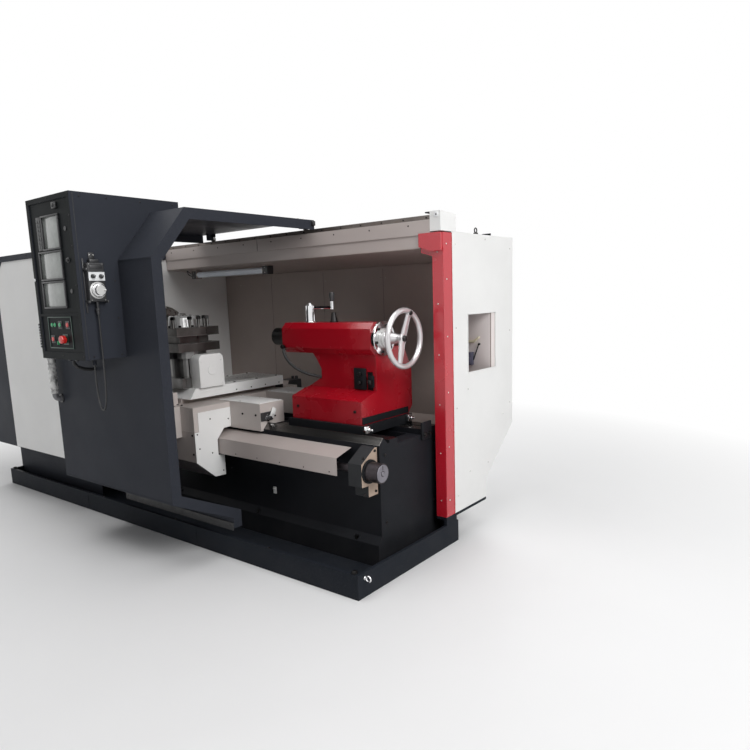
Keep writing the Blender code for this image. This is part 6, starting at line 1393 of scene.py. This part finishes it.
def add_handwheel():
    place = at((HANDWHEEL_PLANE, *SPINDLE), "X")
    section = [(0.1455 + 0.0145 * math.cos(angle), 0.0145 * math.sin(angle))
               for angle in [math.radians(18 * step) for step in range(20)]]
    wheel = Shape().spin(section, place, 80)
    wheel.spin([(0, -0.118), (0.013, -0.118), (0.013, -0.098), (0.0295, -0.098), (0.0295, -0.060),
                (0.0240, -0.048), (0.0240, -0.018), (0.0265, -0.014), (0.0265, -0.004),
                (0.0240, -0.002), (0, -0.002)], place, 40)
    for lean in (HANDWHEEL_LEAN, HANDWHEEL_LEAN + 180):
        arm = (place @ Matrix.Translation((0, 0, -0.017))
               @ Matrix.Rotation(math.radians(90 - lean), 4, 'Z')
               @ Matrix.Rotation(math.radians(-4.5), 4, 'Y'))
        wheel.plate([(0.004, -0.0225), (0.110, -0.0165), (0.140, -0.0150), (0.140, 0.0150),
                     (0.110, 0.0165), (0.004, 0.0225)], arm, 0.012, 0.0030)
    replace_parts(wheel.finish("handwheel_casting", SATIN_CHROME, "handwheel"), "handwheel")
    nut = Shape().spin(head(-0.003, 0.0150, 0.007, 0.0125, 0.010),
                       place @ Matrix.Rotation(0.2, 4, 'Z'), flats=(1, 2))
    angle = math.radians(90 - HANDWHEEL_LEAN)
    knob = place @ Matrix.Translation((0.1375 * math.cos(angle), 0.1375 * math.sin(angle), 0.004))
    nut.spin(head(0, 0.0120, 0.012, 0.0095, 0.016), knob)
    nut.finish("handwheel_nut", BLACK_OXIDE, "handwheel")
    Shape().spin(head(-0.004, 0.0175, 0.004, 0.0155, 0.006), knob, 32).finish(
        "handwheel_knob_boss", SATIN_CHROME, "handwheel")


def add_lever():
    Shape().spin([(0.0, 0.0), (0.0105, 0.0), (0.0130, 0.005), (0.0130, 0.012), (0.0134, 0.016),
                  (0.0142, 0.020), (0.0152, 0.038), (0.0134, 0.049), (0.0, 0.053)],
                 at((1.173, SPINDLE_Y, 1.3640)), 32).finish(
                     "lever_grip", BLACK_PLASTIC, "clamp_lever")
    hub = (1.005, SPINDLE_Y, 1.3423)
    joint = Shape().rod(hub, "Z", 0.024, 0.005, 0.002, 32)
    joint.spin(head(0.005, 0.0105, 0.013, 0.009, 0.015), at(hub), flats=(1, 2))
    joint.finish("lever_hub_nut", CHROME, "clamp_lever")


# Spindle, chuck

def add_chuck():
    sockets = Shape()
    for number in range(3):
        turn = (Matrix.Translation((-0.497, *SPINDLE))
                @ Matrix.Rotation(2 * math.pi * number / 3 + math.pi / 3, 4, 'X'))
        sockets.spin([(0.009, 0.0), (0.017, 0.0), (0.017, 0.003), (0.009, 0.003)],
                     turn @ Matrix.Translation((0, 0, 0.1992)), 24, flats=(0, 3), sides=4)
        sockets.each(socket_screw, [tuple(turn @ Vector((CHUCK_FACE + 0.497, 0, reach)))
                                    for reach in (0.105, 0.160)], "X", 0.010, 0.004)
    sockets.finish("chuck_screws", BLACK_OXIDE, "spindle")
    for number in range(3):
        turn = (Matrix.Translation((-0.5622, *SPINDLE))
                @ Matrix.Rotation(2 * math.pi * number / 3, 4, 'X'))
        Shape().each(socket_screw, [tuple(turn @ Vector((along, 0, reach)))
                                    for along, reach in ((0.1302, 0.164), (0.1522, 0.126))],
                     "X", 0.0085, 0.005).finish("jaw_screws_%d" % (number + 1), BLACK_OXIDE,
                                                "jaw_%d" % (number + 1))


def main():
    make_camera()
    make_cable()
    dress_nodes()
    make_floor()
    make_world()
    for light in LIGHTS:
        area_light(*light)
    for add in (add_console, add_pendant, add_hood, add_left_end, add_header, add_lamp,
                add_post_and_panel, add_walls, add_rear, add_cabinet, add_tray, add_bed,
                add_screw_line, add_main_motor, add_carriage, add_cross_slide, add_tool_post,
                add_turret_base, add_tailstock, add_handwheel, add_lever, add_chuck):
        add()
    bpy.context.scene.view_settings.view_transform = 'Standard'


main()
